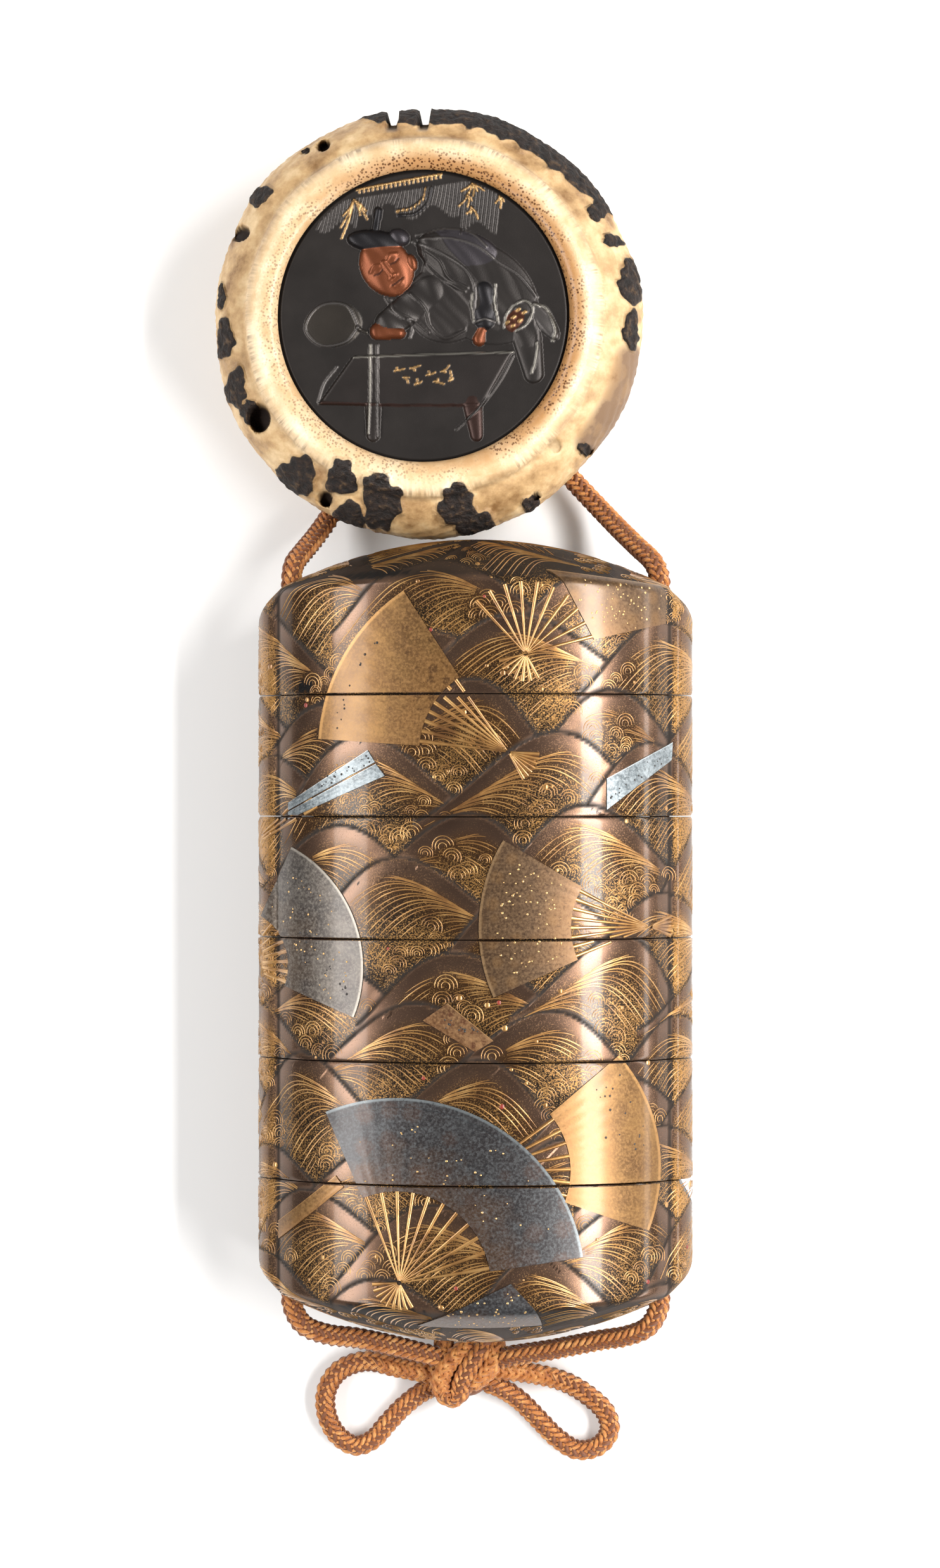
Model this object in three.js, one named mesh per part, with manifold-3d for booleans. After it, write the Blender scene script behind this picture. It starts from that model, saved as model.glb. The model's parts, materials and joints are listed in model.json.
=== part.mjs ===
// An inro, a small case of lacquered boxes that fit into each other, lying on its back
// with its netsuke and the silk cord that strings the two together.
//
// Units are millimetres. X runs across the case, Y along it towards the netsuke, and Z up.
// The origin is the middle of the narrow flat on the underside of the case, so Z = 0 is
// the surface that everything lies on.

import * as THREE from 'three';
import { mergeVertices } from 'three/addons/utils/BufferGeometryUtils.js';
import Module from 'manifold-3d';

const wasm = await Module();
wasm.setup();

// ---------------------------------------------------------------- driving dimensions

// The case, with every depth measured from the plane halfway through it.
const MID_HEIGHT = 12;          // that plane above the surface
const HALF_LENGTH = 45.05;      // to the crown of the domed lid and of the domed base
const BODY_HALF_WIDTH = 22.9;   // the oval body alone, without its cord runners
const FRONT_DEPTH = 12;
const BACK_DEPTH = 12.3;        // fuller than the front, then worn flat where it lies
const RUNNER_RADIUS = 4.2;      // the round rib on each side that the cord runs through
const RUNNER_CENTRE = 20.05;
const BORE_RADIUS = 1.6;
const BORE_CENTRE = 20.6;

const TOP_SEAM = 27.35;         // the lid meets the first case
const SEAM_PITCH = 13.44;       // one case after another
const CASE_COUNT = 5;
const GAP = 0.3;                // running fit between one piece and the next

// How the sections stack: a thin riser stands up from each case into the one above.
const CAVITY = { halfWidth: 17.2, halfDepth: 9.8 };
const RISER_WALL = 0.8;
const RISER_HEIGHT = 3.6;
const RECESS_DEPTH = 4.0;
const FLOOR = 1.2;
const CAVITY_SQUARENESS = 2.6;  // exponent of the rounded oval inside the case

// The ends are shallow domes with a soft ridge all round and cut-down runner ends.
const DOME_RADIUS = 44.3;
const DOME_FRONT_DROP = 4.65;   // from the mid-plane to the front or the back
const DOME_SHELL = 1.5;
const RIDGE_BEVEL = 0.6;
const RUNNER_END = { start: 21.4, slope: 0.52, corner: 23.6, fall: 1.06 };

// The netsuke is a thick round bowl of antler with a metal disc let into its face.
const NETSUKE = new THREE.Vector3(-5.5, 69.3, 0);
const FOOT_RADIUS = 13;
const EQUATOR = { radius: 24, height: 9 };
const DISC = { radius: 16.3, bottom: 15.9, edge: 16.9, ground: 17.15 };
const TUNNEL = { radius: 1.6, height: 3.6, from: 11.5, to: 26 };
const TUNNEL_ANGLES = [242, 313.5];     // degrees from +X, towards the two runners

const CORD_RADIUS = 1.2;
const CORD_LIE = 1.25;          // height of a cord's centre where it lies on the surface
const KNOT = { centre: [-1.4, -50.4, 3.1], radii: [3.8, 3.9, 2.8] };

// ---------------------------------------------------------------- materials

const finish = (color, roughness, metalness) =>
  new THREE.MeshStandardMaterial({ color, roughness, metalness });
const LACQUER = finish('#6b4a30', 0.3, 0.35);
const ANTLER = finish('#d9b98c', 0.45, 0);
const DARK_METAL = finish('#3b3734', 0.4, 0.7);
const SILK = finish('#935f3c', 0.75, 0);

// ---------------------------------------------------------------- solids from rings

const radians = (degrees) => THREE.MathUtils.degToRad(degrees);
const squared = (value) => value * value;

// Closes a stack of rings, each with as many points as the next, into one solid.
function ringSolid(rings) {
  const count = rings[0].length;
  const points = rings.flat();
  const middle = (ring) =>
    ring.reduce((sum, point) => sum.add(point), new THREE.Vector3()).divideScalar(count);
  const first = points.push(middle(rings[0])) - 1;
  const last = points.push(middle(rings.at(-1))) - 1;
  const faces = [];
  for (let side = 0; side < count; side++) {
    const next = (side + 1) % count;
    for (let ring = 0; ring + 1 < rings.length; ring++) {
      const low = ring * count;
      const high = low + count;
      faces.push([low + side, low + next, high + next], [low + side, high + next, high + side]);
    }
    const top = (rings.length - 1) * count;
    faces.push([first, next, side], [last, top + side, top + next]);
  }
  return facingOut(points, faces);
}

// Turns the faces over where they would enclose a negative volume.
function facingOut(points, faces) {
  const volume = faces.reduce(
    (sum, [a, b, c]) => sum + points[a].dot(points[b].clone().cross(points[c])), 0);
  const order = volume > 0 ? faces : faces.map(([a, b, c]) => [a, c, b]);
  const geometry = new THREE.BufferGeometry().setFromPoints(points);
  geometry.setIndex(order.flat());
  return geometry;
}

function solid(geometry) {
  const bare = geometry.clone();
  bare.deleteAttribute('normal');
  bare.deleteAttribute('uv');
  const merged = mergeVertices(bare, 1e-4);
  return new wasm.Manifold(new wasm.Mesh({
    numProp: 3,
    vertProperties: new Float32Array(merged.attributes.position.array),
    triVerts: new Uint32Array(merged.index.array),
  }));
}

function named(name, shape, material) {
  const { vertProperties, triVerts } = shape.getMesh();
  const geometry = new THREE.BufferGeometry();
  geometry.setAttribute('position', new THREE.BufferAttribute(vertProperties, 3));
  geometry.setIndex(new THREE.BufferAttribute(triVerts, 1));
  geometry.computeVertexNormals();
  const mesh = new THREE.Mesh(geometry, material);
  mesh.name = name;
  return mesh;
}

// ---------------------------------------------------------------- sections of the case

// Points along an arc, from its start up to but not at its end.
const arc = (steps, from, to, place) =>
  Array.from({ length: steps }, (_, i) => place(from + (to - from) * i / steps));

// Where the oval of the given depth meets the runner.
function groove(depth) {
  const ratio = squared(depth / BODY_HALF_WIDTH);
  const product = squared(depth) - squared(RUNNER_RADIUS) + squared(RUNNER_CENTRE);
  const root = Math.sqrt(squared(RUNNER_CENTRE) - (1 - ratio) * product);
  const x = (RUNNER_CENTRE - root) / (1 - ratio);
  const z = Math.sqrt(squared(RUNNER_RADIUS) - squared(x - RUNNER_CENTRE));
  return { oval: Math.acos(x / BODY_HALF_WIDTH), runner: Math.atan2(z, x - RUNNER_CENTRE) };
}

// The outer section, anticlockwise from the right-hand groove in front.
function bodySection() {
  const front = groove(FRONT_DEPTH);
  const back = groove(BACK_DEPTH);
  const flat = Math.asin(MID_HEIGHT / BACK_DEPTH);
  const oval = (depth) => (t) => [BODY_HALF_WIDTH * Math.cos(t), depth * Math.sin(t)];
  const runner = (side) => (t) =>
    [side * RUNNER_CENTRE + RUNNER_RADIUS * Math.cos(t), RUNNER_RADIUS * Math.sin(t)];
  const turn = Math.PI;
  return [
    ...arc(14, front.oval, turn - front.oval, oval(FRONT_DEPTH)),
    ...arc(6, turn - front.runner, turn + back.runner, runner(-1)),
    ...arc(5, turn + back.oval, turn + flat, oval(BACK_DEPTH)),
    ...arc(1, turn + flat, 2 * turn - flat, oval(BACK_DEPTH)),
    ...arc(5, 2 * turn - flat, 2 * turn - back.oval, oval(BACK_DEPTH)),
    ...arc(6, -back.runner, front.runner, runner(1)),
  ];
}

// The rounded oval of the inside, grown by a margin.
function insideSection(margin) {
  const power = 2 / CAVITY_SQUARENESS;
  const bulge = (value) => Math.sign(value) * Math.abs(value) ** power;
  return arc(28, 0, 2 * Math.PI, (t) => [
    (CAVITY.halfWidth + margin) * bulge(Math.cos(t)),
    (CAVITY.halfDepth + margin) * bulge(Math.sin(t)),
  ]);
}

const BODY = bodySection();
const CAVITY_SECTION = insideSection(0);
const RISER_SECTION = insideSection(RISER_WALL);
const RECESS_SECTION = insideSection(RISER_WALL + GAP);

const ring = (section, height, scale = 1) => section.map(([x, z]) =>
  new THREE.Vector3(x * scale, height(x * scale, z * scale), MID_HEIGHT + z * scale));

const prism = (section, low, high) =>
  solid(ringSolid([ring(section, () => low), ring(section, () => high)]));

// Height of the domed end above the middle of the case.
function domeHeight(x, z) {
  const side = Math.abs(x);
  const cut = RUNNER_END.slope * Math.max(0, side - RUNNER_END.start)
    + RUNNER_END.fall * squared(Math.max(0, side - RUNNER_END.corner));
  return HALF_LENGTH - squared(x) / (2 * DOME_RADIUS)
    - DOME_FRONT_DROP * squared(z / FRONT_DEPTH) - cut;
}

// A prism that ends in the dome, at the lid end (end = 1) or at the base (end = -1).
function domed(section, seam, end, inset, bevel) {
  const dome = (drop) => (x, z) => end * (domeHeight(x, z) - inset - drop);
  const rings = [ring(section, () => seam), ring(section, dome(bevel))];
  const scales = bevel > 0 ? [0.955, 0.75, 0.5, 0.25] : [0.7, 0.35];
  for (const scale of scales) rings.push(ring(section, dome(0), scale));
  return solid(ringSolid(rings));
}

// ---------------------------------------------------------------- the lid and the cases

const seamHeight = (index) => TOP_SEAM - SEAM_PITCH * index;

function bores() {
  const drill = (side) => {
    const bit = new THREE.CylinderGeometry(BORE_RADIUS, BORE_RADIUS, 4 * HALF_LENGTH, 9);
    return solid(bit.translate(side * BORE_CENTRE, 0, MID_HEIGHT));
  };
  return drill(-1).add(drill(1));
}

const riser = (floor, seam) => prism(RISER_SECTION, floor, seam + RISER_HEIGHT);
const cavity = (floor, seam) => prism(CAVITY_SECTION, floor, seam + RISER_HEIGHT + 1);
const recess = (seam) => prism(RECESS_SECTION, seam - 1, seam + RECESS_DEPTH);

function lid() {
  const shell = domed(BODY, TOP_SEAM + GAP / 2, 1, 0, RIDGE_BEVEL);
  const hollow = domed(RECESS_SECTION, TOP_SEAM - 1, 1, DOME_SHELL, 0);
  return shell.subtract(hollow).subtract(bores());
}

function middleCase(index) {
  const top = seamHeight(index);
  const bottom = seamHeight(index + 1);
  const floor = bottom + RECESS_DEPTH;
  return prism(BODY, bottom + GAP / 2, top - GAP / 2)
    .subtract(recess(bottom))
    .add(riser(floor, top))
    .subtract(cavity(floor + FLOOR, top))
    .subtract(bores());
}

function bottomCase() {
  const top = seamHeight(CASE_COUNT - 1);
  const inside = domed(CAVITY_SECTION, top + RISER_HEIGHT + 1, -1, DOME_SHELL, 0);
  return domed(BODY, top - GAP / 2, -1, 0, RIDGE_BEVEL)
    .add(riser(top - RECESS_DEPTH, top))
    .subtract(inside)
    .subtract(bores())
    .subtract(lostCorner(top));
}

// The lacquer and wood that are missing from the top of the right-hand runner.
function lostCorner(seam) {
  const loss = { reach: 1.5, length: 2.7 };
  const block = 8;
  const box = new THREE.BoxGeometry(block, block, 2 * block);
  box.translate(block / 2, block / 2, 0);
  box.rotateZ(-Math.atan2(loss.length, loss.reach));
  box.translate(RUNNER_CENTRE + RUNNER_RADIUS - loss.reach, seam, MID_HEIGHT);
  return solid(box);
}

// ---------------------------------------------------------------- the netsuke

// Half of the bowl's outline, from the axis below, round the rim and back inside.
function bowlProfile() {
  const belly = arc(5, Math.PI / 10, Math.PI * 0.6, (t) => [
    FOOT_RADIUS + (EQUATOR.radius - FOOT_RADIUS) * Math.sin(t),
    EQUATOR.height * (1 - Math.cos(t)),
  ]);
  const shoulder = [[23.8, 11.4], [22.6, 13.7], [21.2, 15.2], [20.2, 15.9]];
  const collar = [[19.8, 17.0], [18.9, 17.9], [17.6, 18.3], [16.9, 18.0], [16.6, 17.3]];
  const seat = [[16.6, 15.6], [14.8, 15.6]];
  const hollow = [[14.8, 7], [13.6, 3.8], [11.8, 2.2], [0, 2.2]];
  return [[0, 0], [FOOT_RADIUS, 0], ...belly, ...shoulder, ...collar, ...seat, ...hollow]
    .map(([radius, height]) => new THREE.Vector2(radius, height));
}

// The outer wall follows the burr of the antler, so it isn't a true circle.
function roughenRim(geometry) {
  const position = geometry.attributes.position;
  for (let i = 0; i < position.count; i++) {
    const x = position.getX(i);
    const y = position.getY(i);
    const share = THREE.MathUtils.smoothstep(Math.hypot(x, y), 17.5, 22);
    const angle = Math.atan2(y, x);
    const waver = 0.006 * Math.sin(3 * angle + 1) + 0.005 * Math.sin(5 * angle + 2.2)
      + 0.004 * Math.sin(11 * angle);
    position.setX(i, x * (1 + share * waver));
    position.setY(i, y * (1 + share * waver));
  }
  return geometry;
}

function tunnel(angle) {
  const { radius, height, from, to } = TUNNEL;
  const bit = new THREE.CylinderGeometry(radius, radius, to - from, 10);
  bit.rotateZ(-Math.PI / 2).translate((from + to) / 2, 0, height).rotateZ(radians(angle));
  return solid(bit);
}

// Natural pores and the two nicks in the rim: place, half-sizes and depth of the floor.
const PITS = [
  { at: [-18.5, -11.0], radii: [1.4, 1.6], floor: 12.2 },
  { at: [-20.7, 9.8], radii: [1.2, 0.95], floor: 12.4 },
  { at: [-11.4, 19.5], radii: [0.8, 0.8], floor: 12.6 },
  { at: [-11.2, -19.9], radii: [0.9, 0.9], floor: 12.4 },
  { at: [14.5, -14.3], radii: [0.8, 0.8], floor: 14.6 },
  { at: [-3.7, 22.9], radii: [0.3, 0.8], floor: 12.0 },
  { at: [-0.2, 22.9], radii: [0.3, 0.8], floor: 12.0 },
];

function pit({ at: [x, y], radii: [across, along], floor }) {
  const top = 20;
  const bit = new THREE.CylinderGeometry(1, 0.7, top - floor, 8).rotateX(Math.PI / 2);
  return solid(bit.scale(across, along, 1).translate(x, y, (top + floor) / 2));
}

function netsukeBowl() {
  const turned = new THREE.LatheGeometry(bowlProfile(), 32).rotateX(Math.PI / 2);
  let bowl = solid(outward(roughenRim(turned)));
  for (const angle of TUNNEL_ANGLES) bowl = bowl.subtract(tunnel(angle));
  for (const place of PITS) bowl = bowl.subtract(pit(place));
  return bowl.translate(NETSUKE.toArray());
}

// Rebuilds a geometry with its faces pointing out.
function outward(geometry) {
  const bare = geometry.clone();
  bare.deleteAttribute('normal');
  bare.deleteAttribute('uv');
  const merged = mergeVertices(bare, 1e-4);
  const points = Array.from({ length: merged.attributes.position.count }, (_, i) =>
    new THREE.Vector3().fromBufferAttribute(merged.attributes.position, i));
  const index = Array.from(merged.index.array);
  const faces = arc(index.length / 3, 0, index.length, (i) => index.slice(i, i + 3));
  return facingOut(points, faces.filter(([a, b, c]) => a !== b && b !== c && c !== a));
}

// ---------------------------------------------------------------- the disc's relief

// The forms of the relief: a limb is a tapered bar with round ends, a mass is an oval and
// a slab is a bevelled board. Each rises by its height above the ground of the disc.
const FORMS = [
  { kind: 'slab', from: [-8.6, -7.0], to: [8.8, -7.0], half: 2.5, lean: 0.28, height: 0.42 },
  { kind: 'limb', from: [-5.6, -9.5], to: [-5.6, -13.4], radii: [0.9, 0.7], height: 0.4 },
  { kind: 'limb', from: [5.4, -9.5], to: [5.9, -13.2], radii: [0.9, 0.7], height: 0.4 },
  { kind: 'mass', at: [6.2, 1.9], radii: [6.6, 5.4], tilt: -35, height: 0.62 },
  { kind: 'mass', at: [2.6, 0.4], radii: [4.4, 3.6], tilt: 10, height: 0.6 },
  { kind: 'limb', from: [10.9, -0.6], to: [12.6, -6.0], radii: [2.0, 1.3], height: 0.5 },
  { kind: 'limb', from: [1.0, 5.6], to: [6.2, -1.2], radii: [2.0, 1.9], height: 0.82 },
  { kind: 'limb', from: [6.2, -1.0], to: [6.0, -3.2], radii: [0.7, 0.9], height: 0.72 },
  { kind: 'limb', from: [1.2, 1.4], to: [-2.9, -1.4], radii: [1.9, 1.6], height: 0.72 },
  { kind: 'limb', from: [-2.7, -1.5], to: [-5.2, -1.6], radii: [0.7, 0.95], height: 0.66 },
  { kind: 'limb', from: [-5.2, -1.6], to: [-7.6, 0.4], radii: [0.3, 0.3], height: 0.3 },
  { kind: 'mass', at: [-9.8, 2.2], radii: [3.0, 2.3], tilt: 40, height: 0.28 },
  { kind: 'mass', at: [-3.7, 5.4], radii: [2.9, 3.4], tilt: -28, height: 0.9 },
  { kind: 'mass', at: [-3.2, 8.1], radii: [3.0, 1.7], tilt: -20, height: 0.75 },
];

// Height over the unit circle or bar: full in the middle and falling steeply at the edge.
const swell = (distance) => Math.sqrt(Math.max(0, 1 - squared(distance)));

function formHeight(form, x, y) {
  if (form.kind === 'mass') {
    const tilt = radians(form.tilt);
    const dx = x - form.at[0];
    const dy = y - form.at[1];
    const along = dx * Math.cos(tilt) + dy * Math.sin(tilt);
    const across = dy * Math.cos(tilt) - dx * Math.sin(tilt);
    return form.height * swell(Math.hypot(along / form.radii[0], across / form.radii[1]));
  }
  const start = new THREE.Vector2(...form.from);
  const run = new THREE.Vector2(...form.to).sub(start);
  const offset = new THREE.Vector2(x, y).sub(start);
  const share = THREE.MathUtils.clamp(offset.dot(run) / run.lengthSq(), 0, 1);
  if (form.kind === 'slab') {
    const up = Math.abs(offset.y) / form.half;
    const past = Math.abs(x) - form.to[0] - form.lean * (y - form.from[1]);
    return up < 1 && past < 0 ? form.height : 0;
  }
  const radius = THREE.MathUtils.lerp(form.radii[0], form.radii[1], share);
  return form.height * swell(offset.sub(run.multiplyScalar(share)).length() / radius);
}

const reliefHeight = (x, y) => Math.max(0, ...FORMS.map((form) => formHeight(form, x, y)));

function netsukeDisc() {
  const sides = 54;
  const rows = 15;
  const circle = (radius, height) => arc(sides, 0, 2 * Math.PI, (t) => {
    const x = radius * Math.cos(t);
    const y = radius * Math.sin(t);
    return new THREE.Vector3(x, y, height(x, y)).add(NETSUKE);
  });
  const rings = [circle(DISC.radius, () => DISC.bottom), circle(DISC.radius, () => DISC.edge)];
  for (let row = rows; row > 0; row--) {
    const radius = (DISC.radius - 0.3) * row / rows;
    rings.push(circle(radius, (x, y) => DISC.ground + reliefHeight(x, y)));
  }
  return solid(ringSolid(rings));
}

// ---------------------------------------------------------------- the cord

// A point on the line of one of the netsuke's tunnels.
function inTunnel(index, radius) {
  const angle = radians(TUNNEL_ANGLES[index]);
  return [
    NETSUKE.x + radius * Math.cos(angle), NETSUKE.y + radius * Math.sin(angle), TUNNEL.height];
}

// Each run starts inside the netsuke, dips, threads its runner and comes back to the knot.
const LEFT_RUN = [
  inTunnel(0, 12.2), inTunnel(0, 16), inTunnel(0, 21.4),
  [-17.0, 47.8, 4.1], [-18.3, 45.6, 6.0], [-19.5, 43.7, 8.8], [-20.4, 42.1, 11.0],
  [-20.6, 40.6, 11.9], [-20.6, 38.5, 12], [-20.6, 32, 12], [-20.6, 16, 12], [-20.6, 0, 12],
  [-20.6, -16, 12], [-20.6, -32, 12], [-20.6, -38.5, 12], [-20.5, -41.0, 11.9],
  [-19.3, -43.2, 11.3], [-16.8, -44.4, 10.1], [-13.6, -45.0, 8.6], [-9.6, -46.1, 6.9],
  [-5.5, -47.5, 5.6],
];
const RIGHT_RUN = [
  inTunnel(1, 12.2), inTunnel(1, 16), inTunnel(1, 21.4),
  [11.4, 51.4, 3.7], [13.7, 48.9, 4.5], [16.0, 46.4, 6.3], [18.2, 44.1, 8.9],
  [20.0, 42.2, 11.1], [20.6, 40.6, 11.9], [20.6, 38.5, 12], [20.6, 32, 12], [20.6, 16, 12],
  [20.6, 0, 12], [20.6, -16, 12], [20.6, -32, 12], [20.6, -38.5, 12], [20.5, -41.0, 11.9],
  [19.3, -43.2, 11.3], [16.9, -44.4, 10.2], [14.2, -45.0, 9.0], [8.2, -46.5, 6.9],
  [3.1, -47.7, 5.6],
];
const LEFT_BOW = [
  [-5.9, -50.2, 2.6], [-9.4, -49.2, 1.6], [-12.9, -48.6, CORD_LIE], [-16.0, -49.7, CORD_LIE],
  [-17.5, -52.0, CORD_LIE], [-17.5, -54.6, CORD_LIE], [-16.3, -57.0, CORD_LIE],
  [-14.2, -58.3, CORD_LIE], [-12.2, -57.6, CORD_LIE], [-10.6, -55.8, CORD_LIE],
  [-8.6, -54.0, 1.3], [-5.8, -53.0, 1.4],
];
const RIGHT_BOW = [
  [2.9, -50.0, 2.6], [6.3, -49.9, 1.7], [9.7, -50.8, CORD_LIE], [12.5, -52.4, CORD_LIE],
  [14.5, -54.4, CORD_LIE], [14.9, -56.4, CORD_LIE], [13.7, -58.1, CORD_LIE],
  [11.3, -58.6, CORD_LIE], [9.0, -57.7, CORD_LIE], [6.8, -55.6, CORD_LIE],
  [4.8, -53.8, 1.3], [2.3, -52.9, 1.4],
];

function cord(points, steps) {
  const route = new THREE.CatmullRomCurve3(points.map((point) => new THREE.Vector3(...point)));
  const section = new THREE.Shape(arc(8, 0, 2 * Math.PI, (t) =>
    new THREE.Vector2(CORD_RADIUS * Math.cos(t), CORD_RADIUS * Math.sin(t))));
  return solid(new THREE.ExtrudeGeometry(section, { steps, extrudePath: route }));
}

// A ball of overlapping wraps: the core, and one turn of cord drawn slantwise over it.
function knot() {
  const core = new THREE.SphereGeometry(1, 14, 8).scale(...KNOT.radii);
  const wrap = new THREE.TorusGeometry(2.75, CORD_RADIUS, 7, 16).rotateX(Math.PI / 2);
  wrap.scale(1, 1.15, 0.72).rotateZ(radians(38));
  return solid(core).add(solid(wrap)).translate(KNOT.centre);
}

// ---------------------------------------------------------------- the object

const object = new THREE.Group();
object.add(named('lid', lid(), LACQUER));
for (let index = 0; index + 1 < CASE_COUNT; index++) {
  object.add(named(`case_${index + 1}`, middleCase(index), LACQUER));
}
object.add(named(`case_${CASE_COUNT}`, bottomCase(), LACQUER));
object.add(named('netsuke_bowl', netsukeBowl(), ANTLER));
object.add(named('netsuke_disc', netsukeDisc(), DARK_METAL));
object.add(named('cord_left', cord(LEFT_RUN, 40), SILK));
object.add(named('cord_right', cord(RIGHT_RUN, 42), SILK));
object.add(named('bow_left', cord(LEFT_BOW, 16), SILK));
object.add(named('bow_right', cord(RIGHT_BOW, 16), SILK));
object.add(named('bow_knot', knot(), SILK));

export default object;
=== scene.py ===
# %% [markdown]
# # An inro, its netsuke and its cord
#
# An inro is a nest of small lacquered boxes that a silk cord holds shut. This one is
# decorated in maki-e: gold and silver powder laid on wet lacquer, here as waves with
# folding fans afloat on them. The netsuke that kept it from slipping off the sash is a
# bowl of stag antler with a dark metal disc let into its face.
#
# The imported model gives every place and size. This script only dresses it: each lacquered
# box becomes a fine skin with gold laid on it, the antler and the disc are carved finer,
# and the plain tubes become braided silk.

import json
import math
from functools import partial

import bmesh
import bpy
import numpy as np
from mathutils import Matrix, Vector

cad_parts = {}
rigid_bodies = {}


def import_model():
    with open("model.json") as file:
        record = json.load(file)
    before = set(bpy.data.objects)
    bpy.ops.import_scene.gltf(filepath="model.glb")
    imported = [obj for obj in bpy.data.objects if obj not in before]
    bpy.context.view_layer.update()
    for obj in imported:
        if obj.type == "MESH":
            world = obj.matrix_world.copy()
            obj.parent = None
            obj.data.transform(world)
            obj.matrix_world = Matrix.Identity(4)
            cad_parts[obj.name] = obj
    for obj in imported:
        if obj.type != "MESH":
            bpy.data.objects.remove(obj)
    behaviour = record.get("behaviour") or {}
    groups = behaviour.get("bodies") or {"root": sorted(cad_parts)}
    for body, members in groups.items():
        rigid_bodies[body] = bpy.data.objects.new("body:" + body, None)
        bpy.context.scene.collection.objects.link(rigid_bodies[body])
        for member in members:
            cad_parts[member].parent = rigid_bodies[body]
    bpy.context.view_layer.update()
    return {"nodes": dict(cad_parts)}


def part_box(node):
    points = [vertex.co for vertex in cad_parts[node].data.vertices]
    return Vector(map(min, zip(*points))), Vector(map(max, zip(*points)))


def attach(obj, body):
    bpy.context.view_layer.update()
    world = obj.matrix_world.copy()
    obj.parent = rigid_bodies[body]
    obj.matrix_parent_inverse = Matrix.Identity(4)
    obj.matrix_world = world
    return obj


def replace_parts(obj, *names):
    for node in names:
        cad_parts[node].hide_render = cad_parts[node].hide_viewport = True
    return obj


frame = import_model()

MM = 0.001
random = np.random.default_rng(7)


def box_mm(name):
    low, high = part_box(name)
    return np.array(low) / MM, np.array(high) / MM


print("nodes:", sorted(frame["nodes"]))

# %% [markdown]
# ## Where the pieces lie
#
# The seams between the boxes, the middle plane of the case and the netsuke's centre are
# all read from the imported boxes, so that nothing here can drift away from the solids.

# %% Places
SECTIONS = ["lid", "case_1", "case_2", "case_3", "case_4", "case_5"]
SEAM_GAP = 0.3
case_low, case_high = box_mm("case_2")
MID_HEIGHT = HALF_DEPTH = (case_low[2] + case_high[2]) / 2
HALF_LENGTH = box_mm("lid")[1][1]
SEAMS = [box_mm(name)[0][1] - SEAM_GAP / 2 for name in SECTIONS[:-1]]
disc_low, disc_high = box_mm("netsuke_disc")
NETSUKE = (disc_low[:2] + disc_high[:2]) / 2
print("seams at", np.round(SEAMS, 2), "netsuke at", np.round(NETSUKE, 2))

# %% [markdown]
# ## The camera
#
# A long lens looks straight down, turned a hair to the right-hand side.

# %% Camera
VIEW_CENTRE = Vector((-0.57, 17.5, MID_HEIGHT)) * MM
VIEW_DISTANCE = 468 * MM
VIEW_HEIGHT = 175.4 * MM
VIEW_TILT = math.radians(2.5)
SENSOR = 36

camera_data = bpy.data.cameras.new("Camera")
camera = bpy.data.objects.new("Camera", camera_data)
bpy.context.scene.collection.objects.link(camera)
bpy.context.scene.camera = camera
towards = Vector((math.sin(VIEW_TILT), 0, math.cos(VIEW_TILT)))
camera.location = VIEW_CENTRE + towards * VIEW_DISTANCE
camera.rotation_euler = (0, VIEW_TILT, 0)
camera_data.sensor_width = SENSOR
camera_data.lens = SENSOR * VIEW_DISTANCE / VIEW_HEIGHT
camera_data.clip_start = 0.01
camera_data.clip_end = 10
print("lens", round(camera_data.lens, 1), "mm")

# %% [markdown]
# ## Helpers for materials
#
# Colours are written as sRGB hex values, the way a paint chart gives them, and turned to
# the linear values that the shader wants. One function adds a node with its settings and
# links and gives its output, so that a whole material reads as a short list.

# %% Material helpers
RANGE = ("Value", "From Min", "From Max", "To Min", "To Max")


def colour(hex_value):
    channels = [int(hex_value[i:i + 2], 16) / 255 for i in (1, 3, 5)]
    linear = [c / 12.92 if c <= 0.04045 else ((c + 0.055) / 1.055) ** 2.4 for c in channels]
    return (*linear, 1.0)


def link_or_set(owner, socket, value):
    if isinstance(value, bpy.types.NodeSocket):
        owner.node_tree.links.new(value, socket)
    else:
        socket.default_value = colour(value) if isinstance(value, str) else value


def node(owner, kind, inputs=None, output=None, stops=(), **settings):
    """Adds a node, sets and links it, and gives its named output, or else its first one."""
    made = owner.node_tree.nodes.new("ShaderNode" + kind)
    for key, value in settings.items():
        setattr(made, key, value)
    for key, value in (inputs or {}).items():
        link_or_set(owner, made.inputs[key], value)
    for _ in stops[2:]:
        made.color_ramp.elements.new(1.0)
    for element, (share, hex_value) in zip(made.color_ramp.elements if stops else (), stops):
        element.position, element.color = share, colour(hex_value)
    return made.outputs[output] if output else next(socket for socket in made.outputs if socket.enabled)


def new_material(name, *marks):
    """A material, what adds nodes to it, the place on it, and the marks on its points."""
    material = bpy.data.materials.new(name)
    material.use_nodes = True
    add = partial(node, material)
    return material, add, add("TexCoord", output="Object"), *(
        add("Attribute", output="Fac", attribute_name=mark) for mark in marks)


def finish_with(material, **inputs):
    shader = material.node_tree.nodes["Principled BSDF"]
    for key, value in inputs.items():
        link_or_set(material, shader.inputs[key.replace("_", " ")], value)
    return material


# %% [markdown]
# ## Helpers for meshes
#
# Most pieces are stacks of rings: a ring of points is swept along, and each neighbour pair
# is joined with four-sided faces. Everything is worked out in millimetres and scaled to
# metres at the very end.

# %% Mesh helpers
# degrees: what meets at a wider angle keeps a crisp edge
CRISP = 50


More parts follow.
